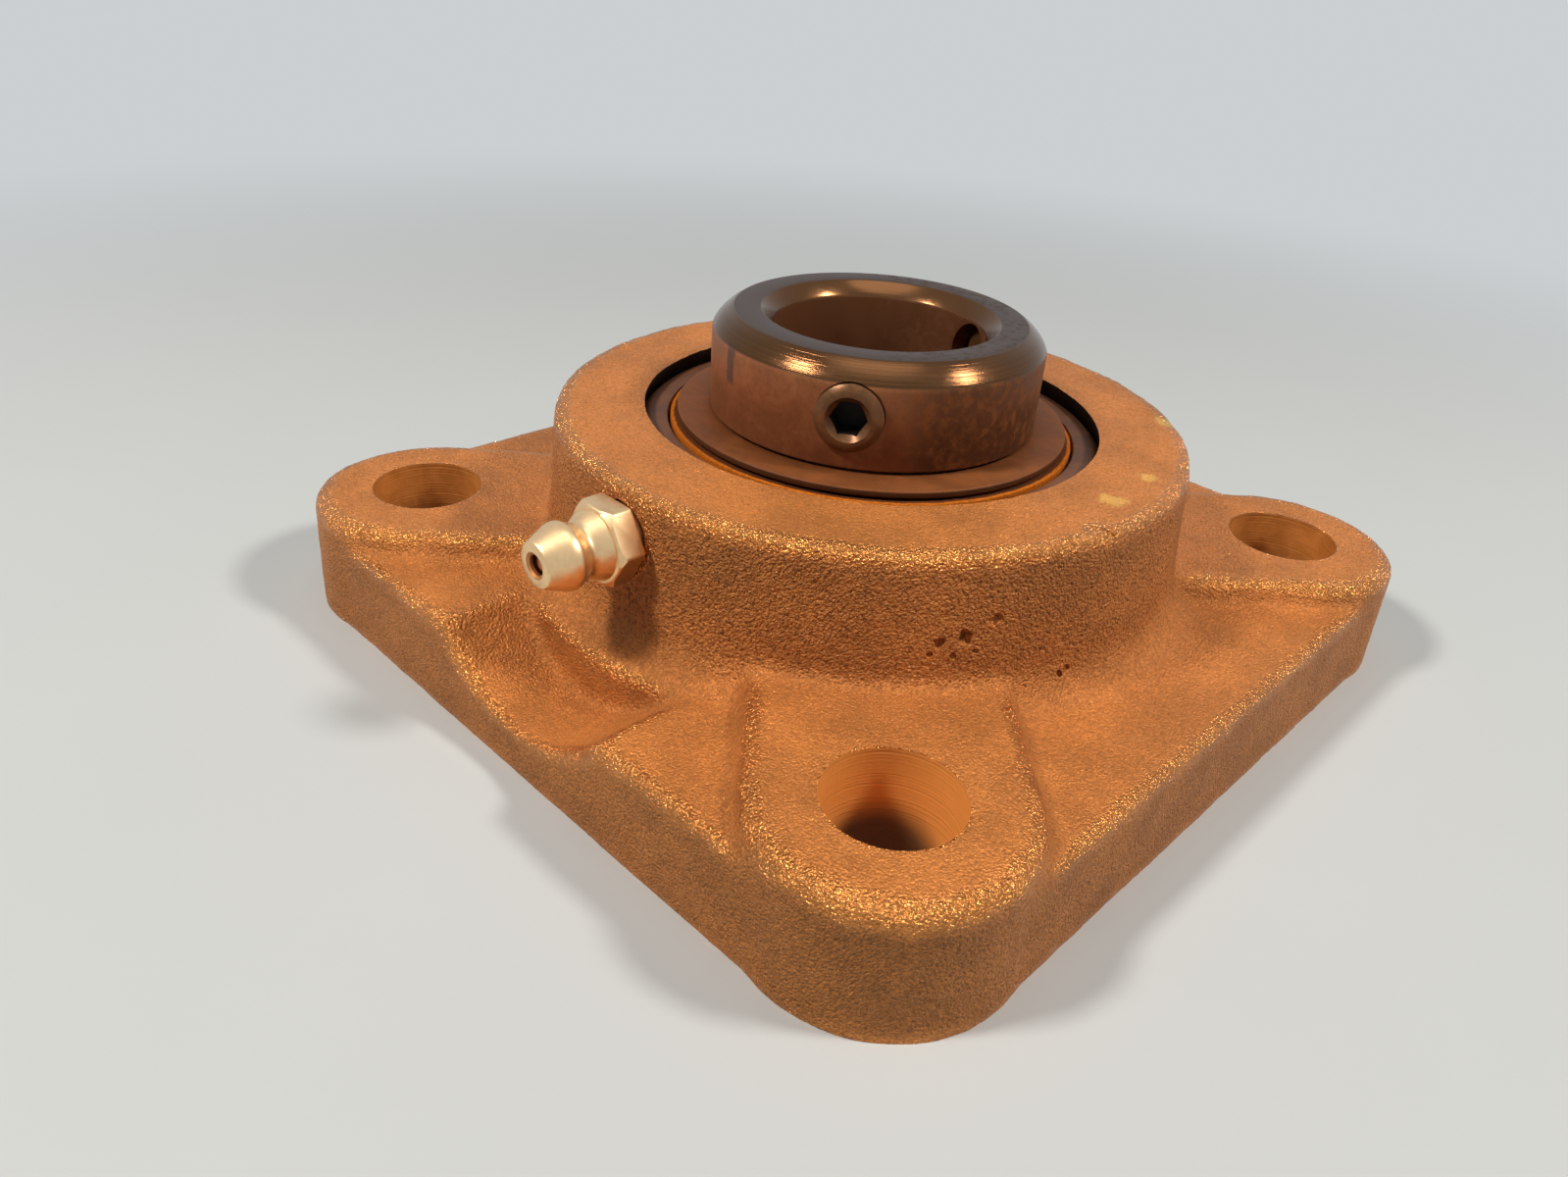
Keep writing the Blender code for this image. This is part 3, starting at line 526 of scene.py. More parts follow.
def machined_material(settings):
    """Drilled and faced iron with rings from the tool: painted shade low down, a painted shadow patch in the
    near bolt hole, and that hole painted lighter as if lit.
    """
    material, shade, shader = new_material("machined iron", 0.5, 0.12)
    place = shade.place()
    blotch = shade.use(handling_smear, Vector=place, Size=3 * MM)["Blotch"]
    level = shade.parts(place)[2]
    rings = shade.noise(shade.add("ShaderNodeCombineXYZ", {2: level}).outputs[0], 4200.0, 2.0, 0.6)
    colour = shade.mix(shade.step(blotch, 0.3, 0.7), (0.56, 0.195, 0.038), (0.76, 0.30, 0.066))
    # Painted light: the near bolt hole is lighter, and its painted shade starts lower.
    lit_near_hole = shade.near(place, (34.9, -34.9, 6), 14, 12)
    colour = shade.mix(shade.times(lit_near_hole, 0.85), colour, (1.0, 0.44, 0.105))
    colour = shade.mix(shade.times(shade.step(rings, 0.5, 0.3), 0.25), colour, settings.dark)
    # Painted shade: darker towards the bottom of the holes, and a painted shadow patch low in the near hole.
    raised = shade.plus(shade.plus(level, shade.times(lit_near_hole, 4 * MM)), shade.times(blotch, 2 * MM))
    stain = shade.near(place, (30.8, -30.7, 0), 8.3, 4.5)
    hole_shade = shade.most(shade.step(raised, 10.5 * MM, 4.5 * MM), stain)
    colour = shade.mix(shade.times(hole_shade, 0.88), colour, (0.035, 0.018, 0.010))
    chip = shade.near(place, (30.0, -35.5, 12.0), 0.9, 0.45)
    shade.put(shader["Base Color"], shade.mix(chip, colour, settings.grease))
    shade.put(shader["Roughness"], shade.plus(0.38, shade.times(blotch, 0.25)))
    shade.put(shader["Normal"], shade.bump(rings, 0.8, 0.12 * MM))
    return material


def seat_grease_and_shade_material(settings):
    """Wall of the seat under old grease, painted nearly black also as the shade in the gap round the outer
    ring.
    """
    material, shade, shader = new_material("greased seat in painted shade", 0.45, 0.2)
    blotch = shade.use(handling_smear, Vector=shade.place(), Size=2 * MM)["Blotch"]
    colour = shade.mix(shade.step(blotch, 0.4, 0.75), settings.grease, scaled(settings.grease, 2.4))
    shade.put(shader["Base Color"], colour)
    shade.put(shader["Roughness"], shade.plus(0.35, shade.times(blotch, 0.3)))
    shade.put(shader["Normal"], shade.bump(blotch, 0.4, 0.1 * MM))
    return material


def drip_stain(shade, place, top):
    """A dark drip on the side of the ring, left of the first set screw."""
    mapping = {"Vector": place, "Rotation": (0, 0, radians(105))}
    parts = shade.parts(shade.add("ShaderNodeMapping", mapping).outputs[0])
    ragged = shade.times(shade.noise(place, 650.0, 2.0), 0.6 * MM)
    streak = shade.step(shade.plus(shade.math("ABSOLUTE", parts[1]), ragged), 1.25 * MM, 0.75 * MM)
    drop = shade.step(shade.minus(parts[2], ragged), 29.5 * MM, 30.5 * MM)
    stain = shade.times(shade.times(streak, drop), shade.step(parts[0], 14 * MM, 15 * MM))
    return shade.times(stain, shade.step(parts[2], top - 1.5 * MM, top - 2.3 * MM))


def ring_material(settings):
    """Wide inner ring: oxide side and end, the end tinted blue-grey as a painted reflection, one side and the
    bore in painted shade, a finely turned bevel and chamfer, rust and a drip stain.
    """
    material, shade, shader = new_material("oxide ring", 0.36, 0.5, 0.25)
    place = shade.place()
    lines = shade.use(lathe_lines, Vector=place, Pitch=0.11 * MM)
    marks = shade.use(handling_smear, Vector=place, Size=5 * MM)
    radius, level, blotch = lines["Radius"], lines["Level"], marks["Blotch"]
    top, base = RING_HIGH.z, settings.ring
    side = shade.mix(shade.step(blotch, 0.34, 0.68), scaled(base, 0.78), scaled(base, 1.18))
    # Painted shade: the side towards +X and +Y is darkened; the rust grows only there.
    across = shade.vector_math("DOT_PRODUCT", {0: place, 1: (0.73, 0.68, 0)}, "Value")
    shaded = shade.plus(across, shade.times(blotch, 9 * MM))
    side = shade.mix(shade.step(shaded, 4 * MM, 11 * MM), side, scaled(base, 0.36))
    rust = shade.step(shade.noise(place, 900.0, 5.0, 0.7), 0.46, 0.64)
    rust = shade.times(rust, shade.step(shaded, 3 * MM, 7 * MM))
    side = shade.mix(shade.times(rust, 0.6), side, (0.33, 0.11, 0.028))
    specks = shade.step(shade.noise(place, 1700.0, 3.0, 0.7), 0.42, 0.66)
    side = shade.mix(shade.times(specks, 0.35), side, scaled(base, 0.55))
    # Painted shade: the bore is darkened.
    side = shade.mix(shade.step(radius, 11.5 * MM, 11.2 * MM), side, scaled(base, 0.45))
    # Painted reflection: the oxide end face is tinted blue-grey.
    end = shade.mix(shade.step(blotch, 0.3, 0.7), scaled(settings.ring_top, 0.8), settings.ring_top)
    colour = shade.mix(shade.step(level, top - 0.24 * MM, top - 0.05 * MM), side, end)
    above = shade.step(level, top - 2.15 * MM, top - 1.9 * MM)
    bevel = shade.times(shade.step(radius, 15.3 * MM, 15.5 * MM), above)
    bright = shade.mix(shade.step(lines["Tone"], 0.35, 0.65), scaled(settings.bevel, 0.8), settings.bevel)
    colour = shade.mix(bevel, colour, bright)
    within = shade.step(radius, 12.7 * MM, 12.5 * MM)
    chamfer = shade.times(within, shade.step(level, top - 1.7 * MM, top - 1.4 * MM))
    colour = shade.mix(chamfer, colour, settings.bevel)
    stain = drip_stain(shade, place, top)
    shade.put(shader["Base Color"], shade.mix(shade.times(stain, 0.75), colour, (0.060, 0.045, 0.042)))
    turned = shade.most(bevel, chamfer)
    rough = shade.plus(0.36, shade.times(blotch, 0.2))
    rough = shade.plus(rough, shade.times(rust, shade.minus(0.25, shade.times(turned, 0.25))))
    shade.put(shader["Roughness"], shade.minus(rough, shade.times(turned, 0.28)))
    shade.put(shader["Metallic"], shade.plus(0.4, shade.times(turned, 0.5)))
    height = shade.plus(lines["Height"], shade.times(marks["Scratch"], -0.05))
    strength = shade.plus(0.14, shade.times(bevel, 0.45))
    shade.put(shader["Normal"], shade.bump(height, strength, 0.05 * MM))
    return material


def turned_material(name, colour, roughness, pitch=0.2 * MM, relief=0.25, spread=0.3, metallic=0.9):
    """Turned or pressed steel with lathe rings, blotches and scratches."""
    material, shade, shader = new_material(name, roughness, metallic, 0.25)
    place = shade.place()
    lines = shade.use(lathe_lines, Vector=place, Pitch=pitch)
    marks = shade.use(handling_smear, Vector=place, Size=3.5 * MM)
    blotch = marks["Blotch"]
    tone = shade.mix(shade.step(blotch, 0.3, 0.7), scaled(colour, 1 - spread), scaled(colour, 1 + spread))
    tone = shade.mix(shade.times(marks["Scratch"], 0.25), tone, scaled(colour, 1.8))
    shade.put(shader["Base Color"], tone)
    shade.put(shader["Roughness"], shade.plus(roughness - 0.1, shade.times(blotch, 0.2)))
    shade.put(shader["Normal"], shade.bump(lines["Height"], relief, 0.05 * MM))
    return material


def felt_material(settings):
    """Felt, darkened as painted shade where the flinger's lip covers it, and bright orange along the outer
    edge.
    """
    material, shade, shader = new_material("soaked felt", 0.95, 0.0, 0.1)
    place = shade.place()
    radius = shade.use(lathe_lines, Vector=place, Pitch=0.5 * MM)["Radius"]
    fibres = shade.noise(place, 3200.0, 4.0, 0.7, 2.5)
    clumps = shade.noise(place, 700.0, 3.0, 0.6, 1.0)
    base = settings.felt
    colour = shade.mix(shade.step(fibres, 0.35, 0.65), scaled(base, 0.55), scaled(base, 1.2))
    edge = shade.plus(radius, shade.times(clumps, 0.3 * MM))
    # Painted shade under the flinger's lip: the felt is darkened inwards of about 21.5 mm.
    soaked = shade.step(edge, 21.62 * MM, 21.5 * MM)
    shade.put(shader["Base Color"], shade.mix(soaked, colour, (0.13, 0.040, 0.013)))
    shade.put(shader["Normal"], shade.bump(fibres, 0.9, 0.15 * MM))
    return material


def zinc_material(settings):
    """Bright zinc plate, tinted warm as a painted reflection of the orange casting and warm lamps, with a
    faint bloom, soft dents and brown grease round its mouth.
    """
    material, shade, shader = new_material("zinc plate", 0.24, 1.0)
    place = shade.place()
    marks = shade.use(handling_smear, Vector=place, Size=2.2 * MM)
    base, blotch = settings.colour, marks["Blotch"]
    # Painted reflection: the warm tint of the zinc colour.
    colour = shade.mix(shade.step(blotch, 0.35, 0.75), base, scaled(base, 0.8))
    colour = shade.mix(shade.times(marks["Scratch"], 0.2), colour, (0.55, 0.47, 0.38))
    parts = shade.parts(place)
    up = shade.minus(parts[2], settings.height)
    squares = shade.plus(shade.times(parts[0], parts[0]), shade.times(up, up))
    close = shade.step(shade.math("SQRT", squares), 1.38 * MM, 1.22 * MM)
    mouth = shade.times(close, shade.step(parts[1], -41.0 * MM, -42.0 * MM))
    shade.put(shader["Base Color"], shade.mix(shade.times(mouth, 0.85), colour, (0.45, 0.16, 0.04)))
    rough = shade.plus(0.24, shade.times(blotch, 0.2))
    shade.put(shader["Roughness"], shade.plus(rough, shade.times(mouth, 0.2)))
    shade.put(shader["Normal"], shade.bump(shade.noise(place, 900.0, 2.0, 0.5), 0.2, 0.08 * MM))
    return material


# The cast housing

def hub_outline(settings):
    """Half of the solid hub: its flat face, a leaning wall and a flared foot."""
    height, bends = HOUSING_HIGH.z, 6
    foot = settings.web_height + FOOT_FLARE
    foot_radius = settings.hub_radius + HUB_LEAN * (height - foot)
    points = [(0, height), (settings.hub_radius, height), (foot_radius, foot)]
    for step in range(1, bends):
        angle = pi + (pi / 2) * step / bends
        points.append((foot_radius + FOOT_FLARE * (1 + cos(angle)), foot + FOOT_FLARE * sin(angle)))
    rim = foot_radius + FOOT_FLARE
    return points + [(rim, settings.web_height - 0.5 * MM), (rim, HUB_BASE), (0, HUB_BASE)]


def rough_plate(settings):
    """The flange without its arms: a square with round corners and leaning sides."""
    half = settings.bolt_offset + settings.corner_radius - 0.3 * MM
    bm = bmesh.new()
    bmesh.ops.create_cube(bm, size=1)
    low, high = CAST_BELOW, settings.web_height
    bmesh.ops.scale(bm, vec=(2 * half, 2 * half, high - low), verts=bm.verts)
    bmesh.ops.translate(bm, vec=(0, 0, (low + high) / 2), verts=bm.verts)
    upright = [edge for edge in bm.edges if abs(edge.verts[0].co.z - edge.verts[1].co.z) > 5 * MM]
    bmesh.ops.bevel(
        bm, geom=upright, offset=settings.corner_radius - 0.3 * MM, offset_type="OFFSET", segments=12,
        profile=0.5, affect="EDGES", clamp_overlap=True, material=-1,
    )
    upper = [vert for vert in bm.verts if vert.co.z > 0]
    shrink = 1 - SIDE_LEAN * high / half
    bmesh.ops.scale(bm, vec=(shrink, shrink, 1), verts=upper)
    return bm


def hull_of(parts):
    """The convex shape round several shapes."""
    bm = joined(parts)
    hull = bmesh.ops.convex_hull(bm, input=bm.verts)
    left = hull["geom_interior"] + hull["geom_unused"]
    spare = [item for item in left if isinstance(item, bmesh.types.BMVert)]
    bmesh.ops.delete(bm, geom=spare, context="VERTS")
    return bm


def rough_arm(settings, corner):
    """One arm from under the hub to the round end about its bolt hole, and the flare along its sides."""
    low, high, radius = CAST_BELOW, settings.pad_height, settings.corner_radius
    top, edge = radius - SIDE_LEAN * high, 0.9 * MM
    bar = [(0, low), (radius, low), (top, high - edge), (top - edge, high), (0, high)]
    spread, crest, shorter = 1.0 * MM, 1.4 * MM, 3.2 * MM
    flare = [
        (0, 0), (radius + spread, 0), (radius + spread, settings.web_height - 0.4 * MM),
        (top - edge, high - crest), (0, high - crest),
    ]
    shapes = []
    for outline, pull in ((bar, 0), (flare, shorter)):
        end = Vector(corner) - Vector(corner).normalized() * pull
        shapes.append(hull_of([
            placed(spun(outline, 64), Matrix.Translation((*place, 0)))
            for place in (Vector(corner) * 0.5, end)
        ]))
    return shapes


def seat_outline():
    """What is bored out of the hub: the spherical seat, its open mouth and the recess behind it."""
    radius, steps = OUTER_HIGH.x + 0.3 * MM, 24
    top = HOUSING_HIGH.z - CENTRE_HEIGHT
    low = RECESS_DEPTH - CENTRE_HEIGHT
    points = [(0, 40 * MM), (sqrt(radius**2 - top**2), 40 * MM)]
    for step in range(steps + 1):
        level = top + (low - top) * step / steps
        points.append((sqrt(radius**2 - level**2), CENTRE_HEIGHT + level))
    return points + [(RECESS_RADIUS, RECESS_DEPTH), (RECESS_RADIUS, -5 * MM), (0, -5 * MM)]


def slot_cutter():
    """The two notches behind the seat that let the insert in edgeways."""
    reach = OUTER_HIGH.x + 0.8 * MM
    half_width = (OUTER_HIGH.z - OUTER_LOW.z) / 2 + 0.5 * MM
    bm = cylinder(reach, -5 * MM, CENTRE_HEIGHT, 96)
    for side in (1, -1):
        cut = bmesh.ops.bisect_plane(
            bm, geom=bm.verts[:] + bm.edges[:] + bm.faces[:], plane_co=(0, side * half_width, 0),
            plane_no=(0, side, 0), clear_outer=True,
        )
        rim = [item for item in cut["geom_cut"] if isinstance(item, bmesh.types.BMEdge)]
        bmesh.ops.holes_fill(bm, edges=rim)
    bmesh.ops.recalc_face_normals(bm, faces=bm.faces)
    return bm


def pit_places(settings):
    """Centre and size of each blow hole in the cast skin, on the front of the hub and beside an arm."""
    places = []
    for angle, level, size in (
        (-37.3, 17.28, 0.62), (-33.4, 17.67, 0.85), (-29.1, 19.19, 0.66), (-35.0, 15.9, 0.38),
        (-31.6, 16.2, 0.34), (-16.7, 12.5, 0.42), (-15.2, 12.9, 0.34), (-38.6, 16.1, 0.34),
    ):
        radius = settings.hub_radius + HUB_LEAN * (HOUSING_HIGH.z - level * MM) + 0.25 * size * MM
        places.append((radius * cos(radians(angle)), radius * sin(radians(angle)), level * MM, size * MM))
    return places + [(21.4 * MM, -40.9 * MM, 11.6 * MM, 0.6 * MM)]


def cast_pits(settings):
    """Cutters for the blow holes, and for a nick in the hub's rim."""
    pits = []
    for x, y, z, size in pit_places(settings):
        bm = bmesh.new()
        bmesh.ops.create_icosphere(bm, subdivisions=3, radius=size)
        for vert in bm.verts:
            vert.co *= 1 + 0.45 * noise.noise(vert.co / size * 0.9 + Vector((x, y, z)) * 900)
        pits.append(placed(bm, Matrix.Translation((x, y, z))))
    nick = bmesh.new()
    bmesh.ops.create_icosphere(nick, subdivisions=3, radius=MM)
    bmesh.ops.scale(nick, vec=(1.9, 0.16, 1.0), verts=nick.verts)
    rim = Matrix.Translation((33.0 * MM, -5.1 * MM, 25.6 * MM))
    pits.append(placed(nick, rim @ Matrix.Rotation(radians(28), 4, "Z")))
    return pits


def bolt_places(settings):
    """Centres of the four bolt holes."""
    return [Vector((x * settings.bolt_offset, y * settings.bolt_offset)) for x in (-1, 1) for y in (-1, 1)]


def mark_skin(obj, settings):
    """Stores which points lie on outer edges and where the skin is coarse, and sets each face's finish."""
    bm = bmesh.new()
    bm.from_mesh(obj.data)
    wear_layer = bm.verts.layers.float.new("wear")
    rough_layer = bm.verts.layers.float.new("rough_skin")
    bm.normal_update()
    for vert in bm.verts:
        around = [edge.other_vert(vert).co for edge in vert.link_edges]
        mean = sum(around, Vector()) / len(around)
        span = sum((co - vert.co).length for co in around) / len(around)
        vert[wear_layer] = max(0.0, (vert.co - mean).dot(vert.normal) / span) * 6.0
        on_hub = vert.co.to_2d().length < settings.hub_radius + FOOT_FLARE and vert.co.z > settings.web_height
        upright = 1.0 - max(0.0, vert.normal.z)
        vert[rough_layer] = 0.2 + (0.8 if on_hub else 0.25) * upright
    for _ in range(5):
        smoothed = [
            sum(edge.other_vert(vert)[wear_layer] for edge in vert.link_edges) / len(vert.link_edges)
            for vert in bm.verts
        ]
        for vert, value in zip(bm.verts, smoothed):
            vert[wear_layer] = 0.5 * (vert[wear_layer] + value)
    holes = bolt_places(settings)
    pits = [Vector(place[:3]) for place in pit_places(settings)]
    for vert in bm.verts:
        at_hole = any((vert.co.to_2d() - hole).length < settings.hole_radius + 1.3 * MM for hole in holes)
        at_seat = vert.co.to_2d().length < 27.5 * MM
        at_pit = any((vert.co - pit).length < 1.6 * MM for pit in pits)
        if at_hole or at_seat or at_pit:
            vert[wear_layer] *= 0.15
    centre = Vector((0, 0, CENTRE_HEIGHT))
    seat_reach, floor = OUTER_HIGH.x + 0.5 * MM, RECESS_DEPTH + 0.1 * MM
    for face in bm.faces:
        middle = face.calc_center_median()
        flat = middle.to_2d()
        drilled = any((flat - hole).length < settings.hole_radius + 0.03 * MM for hole in holes)
        bored = (middle - centre).length < seat_reach and face.normal.z < 0.6 and middle.z > floor
        behind = middle.z < floor and flat.length < RECESS_RADIUS + 0.2 * MM
        ground = middle.z < 0.02 * MM
        face.material_index = 2 if bored else 1 if drilled or behind or ground else 0
    bm.to_mesh(obj.data)
    bm.free()


def lumps(obj, name, size, strength):
    """Unevenness of a hand-rammed mould, pushed into the mesh."""
    texture = bpy.data.textures.new(name, "CLOUDS")
    texture.noise_scale = size
    texture.noise_depth = 2
    modifier = obj.modifiers.new(name, "DISPLACE")
    modifier.texture = texture
    modifier.texture_coords = "LOCAL"
    modifier.strength = strength
    modifier.mid_level = 0.5


class BEARING_OT_housing(bpy.types.Operator):
    """Casts the housing with rounded edges, then bores and drills it"""

    bl_idname = "bearing.housing"
    bl_label = "Housing"

    def execute(self, context):
        settings = context.scene.bearing_casting
        plate = make_object("flange_plate", rough_plate(settings))
        fitting = spoke(-pi / 2, context.scene.bearing_fitting.height)
        relief = placed(cylinder(RELIEF_RADIUS, settings.hub_radius, 80 * MM, 96), fitting)
        settle(plate, [add_boolean(plate, relief)])
        flange = bmesh.new()
        flange.from_mesh(plate.data)
        bpy.data.objects.remove(plate)
        parts = [flange, spun(hub_outline(settings), 128)]
        for corner in bolt_places(settings):
            parts += rough_arm(settings, corner)
        finishes = [casting_material(settings), machined_material(settings), seat_grease_and_shade_material(settings)]
        housing = make_object("cast_housing", joined(parts), finishes)
        remesh = housing.modifiers.new("skin", "REMESH")
        remesh.mode = "VOXEL"
        remesh.voxel_size = settings.voxel
        rounding = housing.modifiers.new("rounding", "SMOOTH")
        rounding.factor = 0.5
        rounding.iterations = settings.rounding
        lumps(housing, "mould lumps", 5 * MM, 0.20 * MM)
        lumps(housing, "mould grain", 1.2 * MM, 0.12 * MM)
        cutters = [
            placed(cylinder(settings.hole_radius, -9 * MM, 25 * MM, 64), Matrix.Translation((*corner, 0)))
            for corner in bolt_places(settings)
        ]
        ground = bmesh.new()
        bmesh.ops.create_cube(ground, size=0.2)
        cutters.append(placed(ground, Matrix.Translation((0, 0, -0.1))))
        cutters.append(spun(seat_outline(), 144))
        cutters.append(slot_cutter())
        cutters.append(placed(cylinder(TAPPED_RADIUS, 20 * MM, 45 * MM, 48), fitting))
        cutters += cast_pits(settings)
        settle(housing, [add_boolean(housing, cutter) for cutter in cutters])
        mark_skin(housing, settings)
        fit_out(housing, "housing", "housing_casting", "housing")
        return {"FINISHED"}


# The insert bearing

class BEARING_OT_inner_ring(bpy.types.Operator):
    """Turns the wide inner ring with its bevel, chamfers and two tapped holes"""

    bl_idname = "bearing.inner_ring"
    bl_label = "Inner ring"

    def execute(self, context):
        settings = context.scene.bearing_steel
        top, low = RING_HIGH.z, RING_LOW.z
        race_half, steps = 3.56 * MM, 12
        outline = in_mm((
            (12.6125, 0), (15.45, 0), (15.95, -0.33), (16.45, -0.72), (16.9, -1.16), (17.25, -1.6),
            (17.45, -1.92), (17.56, -2.2), (17.6, -2.5),
        ), top)
        outline += in_mm(((17.6, 9.4), (16.9, 9.4), (16.9, 3.56)), CENTRE_HEIGHT)
        for step in range(1, steps):
            level = race_half - 2 * race_half * step / steps
            outline.append((PITCH_RADIUS - sqrt(GROOVE_RADIUS**2 - level**2), CENTRE_HEIGHT + level))
        outline += in_mm(((16.9, -3.56),), CENTRE_HEIGHT)
        outline += in_mm(((16.9, 0.8), (16.1, 0), (11.9, 0), (11.1125, 0.8)), low)
        outline += in_mm(((11.1125, -1.5),), top)
        bm = spun(outline, settings.steps)
        break_edges(bm, settings.edge)
        ring = make_object("wide_inner_ring", bm, [ring_material(settings)])
        helpers = []
        for angle in SCREW_ANGLES:
            hole = placed(cylinder(TAPPED_RADIUS, 6 * MM, 30 * MM, 48), spoke(radians(angle), SCREW_HEIGHT))
            helpers.append(add_boolean(ring, hole))
        settle(ring, helpers)
        fit_out(ring, "shaft_ring", "blackened_steel", "inner_ring")
        return {"FINISHED"}


def blacken_socket(screw, place, outer):
    """Gives the socket and the cone at its mouth the second material, a near-black painted shade."""
    back = place.inverted()
    for face in screw.data.polygons:
        centre = back @ face.center
        hollow = centre.to_2d().length < 1.84 * MM and outer - 3.2 * MM < centre.z < outer - 0.15 * MM
        face.material_index = 1 if hollow else 0


class BEARING_OT_set_screws(bpy.types.Operator):
    """Makes the two socket set screws with their thread and hexagon"""

    bl_idname = "bearing.set_screws"
    bl_label = "Set screws"

    def execute(self, context):
        steel = turned_material("browned screw", (0.18, 0.080, 0.032), 0.34, 0.3 * MM, 0.2, 0.3, 0.35)
        # Painted shade: the socket is coloured near black.
        black = turned_material("black socket", (0.012, 0.008, 0.006), 0.6, 0.3 * MM, 0.2, 0.3, 0.0)
        outer, length_in, radius, pitch, key = 18.5 * MM, 6.2 * MM, 3.36 * MM, 0.907 * MM, 3.2 * MM
        outline = [(0, outer), (radius - 0.75 * MM, outer), (radius - 0.42 * MM, outer - 0.1 * MM)]
        for turn in range(6):
            crest = outer - 0.5 * MM - turn * pitch
            outline += [
                (radius, crest), (radius, crest - 0.15 * MM), (radius - 0.45 * MM, crest - 0.55 * pitch)
            ]
        point = outer - length_in
        outline += [(radius - 0.6 * MM, point), (1.5 * MM, point), (0, point + 0.5 * MM)]
        for number, angle in enumerate(SCREW_ANGLES, 1):
            place = spoke(radians(angle), SCREW_HEIGHT)
            screw = make_object(f"socket_screw_{number}", placed(spun(outline, 64), place), [steel, black])
            socket = cylinder(key / sqrt(3), outer - 3 * MM, outer + 4 * MM, 6)
            mouth = cylinder(1.5 * MM, outer - 0.7 * MM, outer + 0.05 * MM, 48, 2.28 * MM)
            settle(screw, [add_boolean(screw, placed(cutter, place)) for cutter in (socket, mouth)])
            blacken_socket(screw, place, outer)
            fit_out(screw, f"set_screw_{number}", "screw_steel", f"set_screw_{number}")
        return {"FINISHED"}


class BEARING_OT_outer_ring(bpy.types.Operator):
    """Turns the outer ring with its spherical outside, grease groove and race"""

    bl_idname = "bearing.outer_ring"
    bl_label = "Outer ring"

    def execute(self, context):
        settings = context.scene.bearing_steel
        radius, half = OUTER_HIGH.x, (OUTER_HIGH.z - OUTER_LOW.z) / 2
        edge, chamfer = sqrt(radius**2 - half**2), 0.5 * MM
        steps, race_steps, race_half = 24, 12, 3.6 * MM
        outline = [(edge - chamfer, half), (edge, half - chamfer)]
        for step in range(1, steps):
            level = half - 2 * half * step / steps
            depth = 0.9 * MM if abs(level - GREASE_GROOVE) < 0.7 * MM else 0
            outline.append((sqrt(radius**2 - level**2) - depth, level))
        seal_radius = 22.1 * MM
        outline += [(edge, chamfer - half), (edge - chamfer, -half), (seal_radius, -half)]
        outline += in_mm(((22.1, -5.8), (21.5, -5.8)))
        for step in range(race_steps + 1):
            level = -race_half + 2 * race_half * step / race_steps
            outline.append((PITCH_RADIUS + sqrt(GROOVE_RADIUS**2 - level**2), level))
        outline += in_mm(((21.5, 5.8), (22.1, 5.8))) + [(seal_radius, half)]
        bm = spun(outline, settings.steps)
        break_edges(bm, settings.edge, least_angle=radians(40))
        material = turned_material("ground race", settings.race, 0.5, 0.12 * MM, 0.15, 0.25, 0.1)
        bm = placed(bm, Matrix.Translation((0, 0, CENTRE_HEIGHT)))
        ring = make_object("outer_race_ring", bm, [material])
        hole = placed(cylinder(0.9 * MM, 20 * MM, 30 * MM, 24), spoke(-pi / 2, CENTRE_HEIGHT + GREASE_GROOVE))
        settle(ring, [add_boolean(ring, hole)])
        fit_out(ring, "insert", "ring_steel", "outer_ring")
        return {"FINISHED"}


def ruffle(bm):
    """Uneven surface of felt."""
    for vert in bm.verts:
        push = noise.noise(vert.co * 900) * 0.05 * MM
        vert.co += Vector((vert.co.x, vert.co.y, 0)).normalized() * push + Vector((0, 0, push))


def mark_rim(bm):
    """Gives the upright outer edge of a flinger the second finish."""
    for face in bm.faces:
        outside = face.calc_center_median().to_2d().length > 21.05 * MM
        face.material_index = 1 if outside and abs(face.normal.z) < 0.6 else 0


class BEARING_OT_seals(bpy.types.Operator):
    """Makes the flingers, felt rings and retainers of both sides"""

    bl_idname = "bearing.seals"
    bl_label = "Seals"

    def execute(self, context):
        settings = context.scene.bearing_steel
        steel = turned_material("pressed flinger", settings.flinger, 0.6, 0.5 * MM, 0.12, 0.2, 0.1)
        greasy = turned_material("greasy rim", scaled(settings.flinger, 0.5), 0.6, 0.5 * MM, 0.12, 0.2, 0.0)
        flinger = in_mm((
            (17.2, 0), (20.95, 0), (21.1, -0.12), (21.1, -0.7), (17.9, -0.7), (17.9, -2.9), (17.2, -2.9),
        ), 9.1 * MM)
        felt = in_mm(((18.2, 8.1), (21.8, 8.1), (21.8, 6.9), (18.2, 6.9)))
        retainer = in_mm(((18.2, 6.8), (21.8, 6.8), (21.8, 6.2), (18.2, 6.2)))
        thin, soft = 0.08 * MM, 0.2 * MM
        kinds = (
            ("flinger", flinger, thin, mark_rim, [steel, greasy], "shaft_ring", "seal_steel"),
            ("felt_seal", felt, soft, ruffle, [felt_material(settings)], "insert", "felt"),
            ("seal_retainer", retainer, thin, None, [steel], "insert", "seal_steel"),
        )
        for side, flip in (("front", 1), ("rear", -1)):
            for kind, outline, edge, dress, materials, body, slot in kinds:
                bm = spun([(r, CENTRE_HEIGHT + flip * z) for r, z in outline], settings.steps)
                break_edges(bm, edge)
                if dress:
                    dress(bm)
                obj = make_object(f"{side}_{kind}_ring", bm, materials)
                fit_out(obj, body, slot, f"{side}_{kind}")
        return {"FINISHED"}


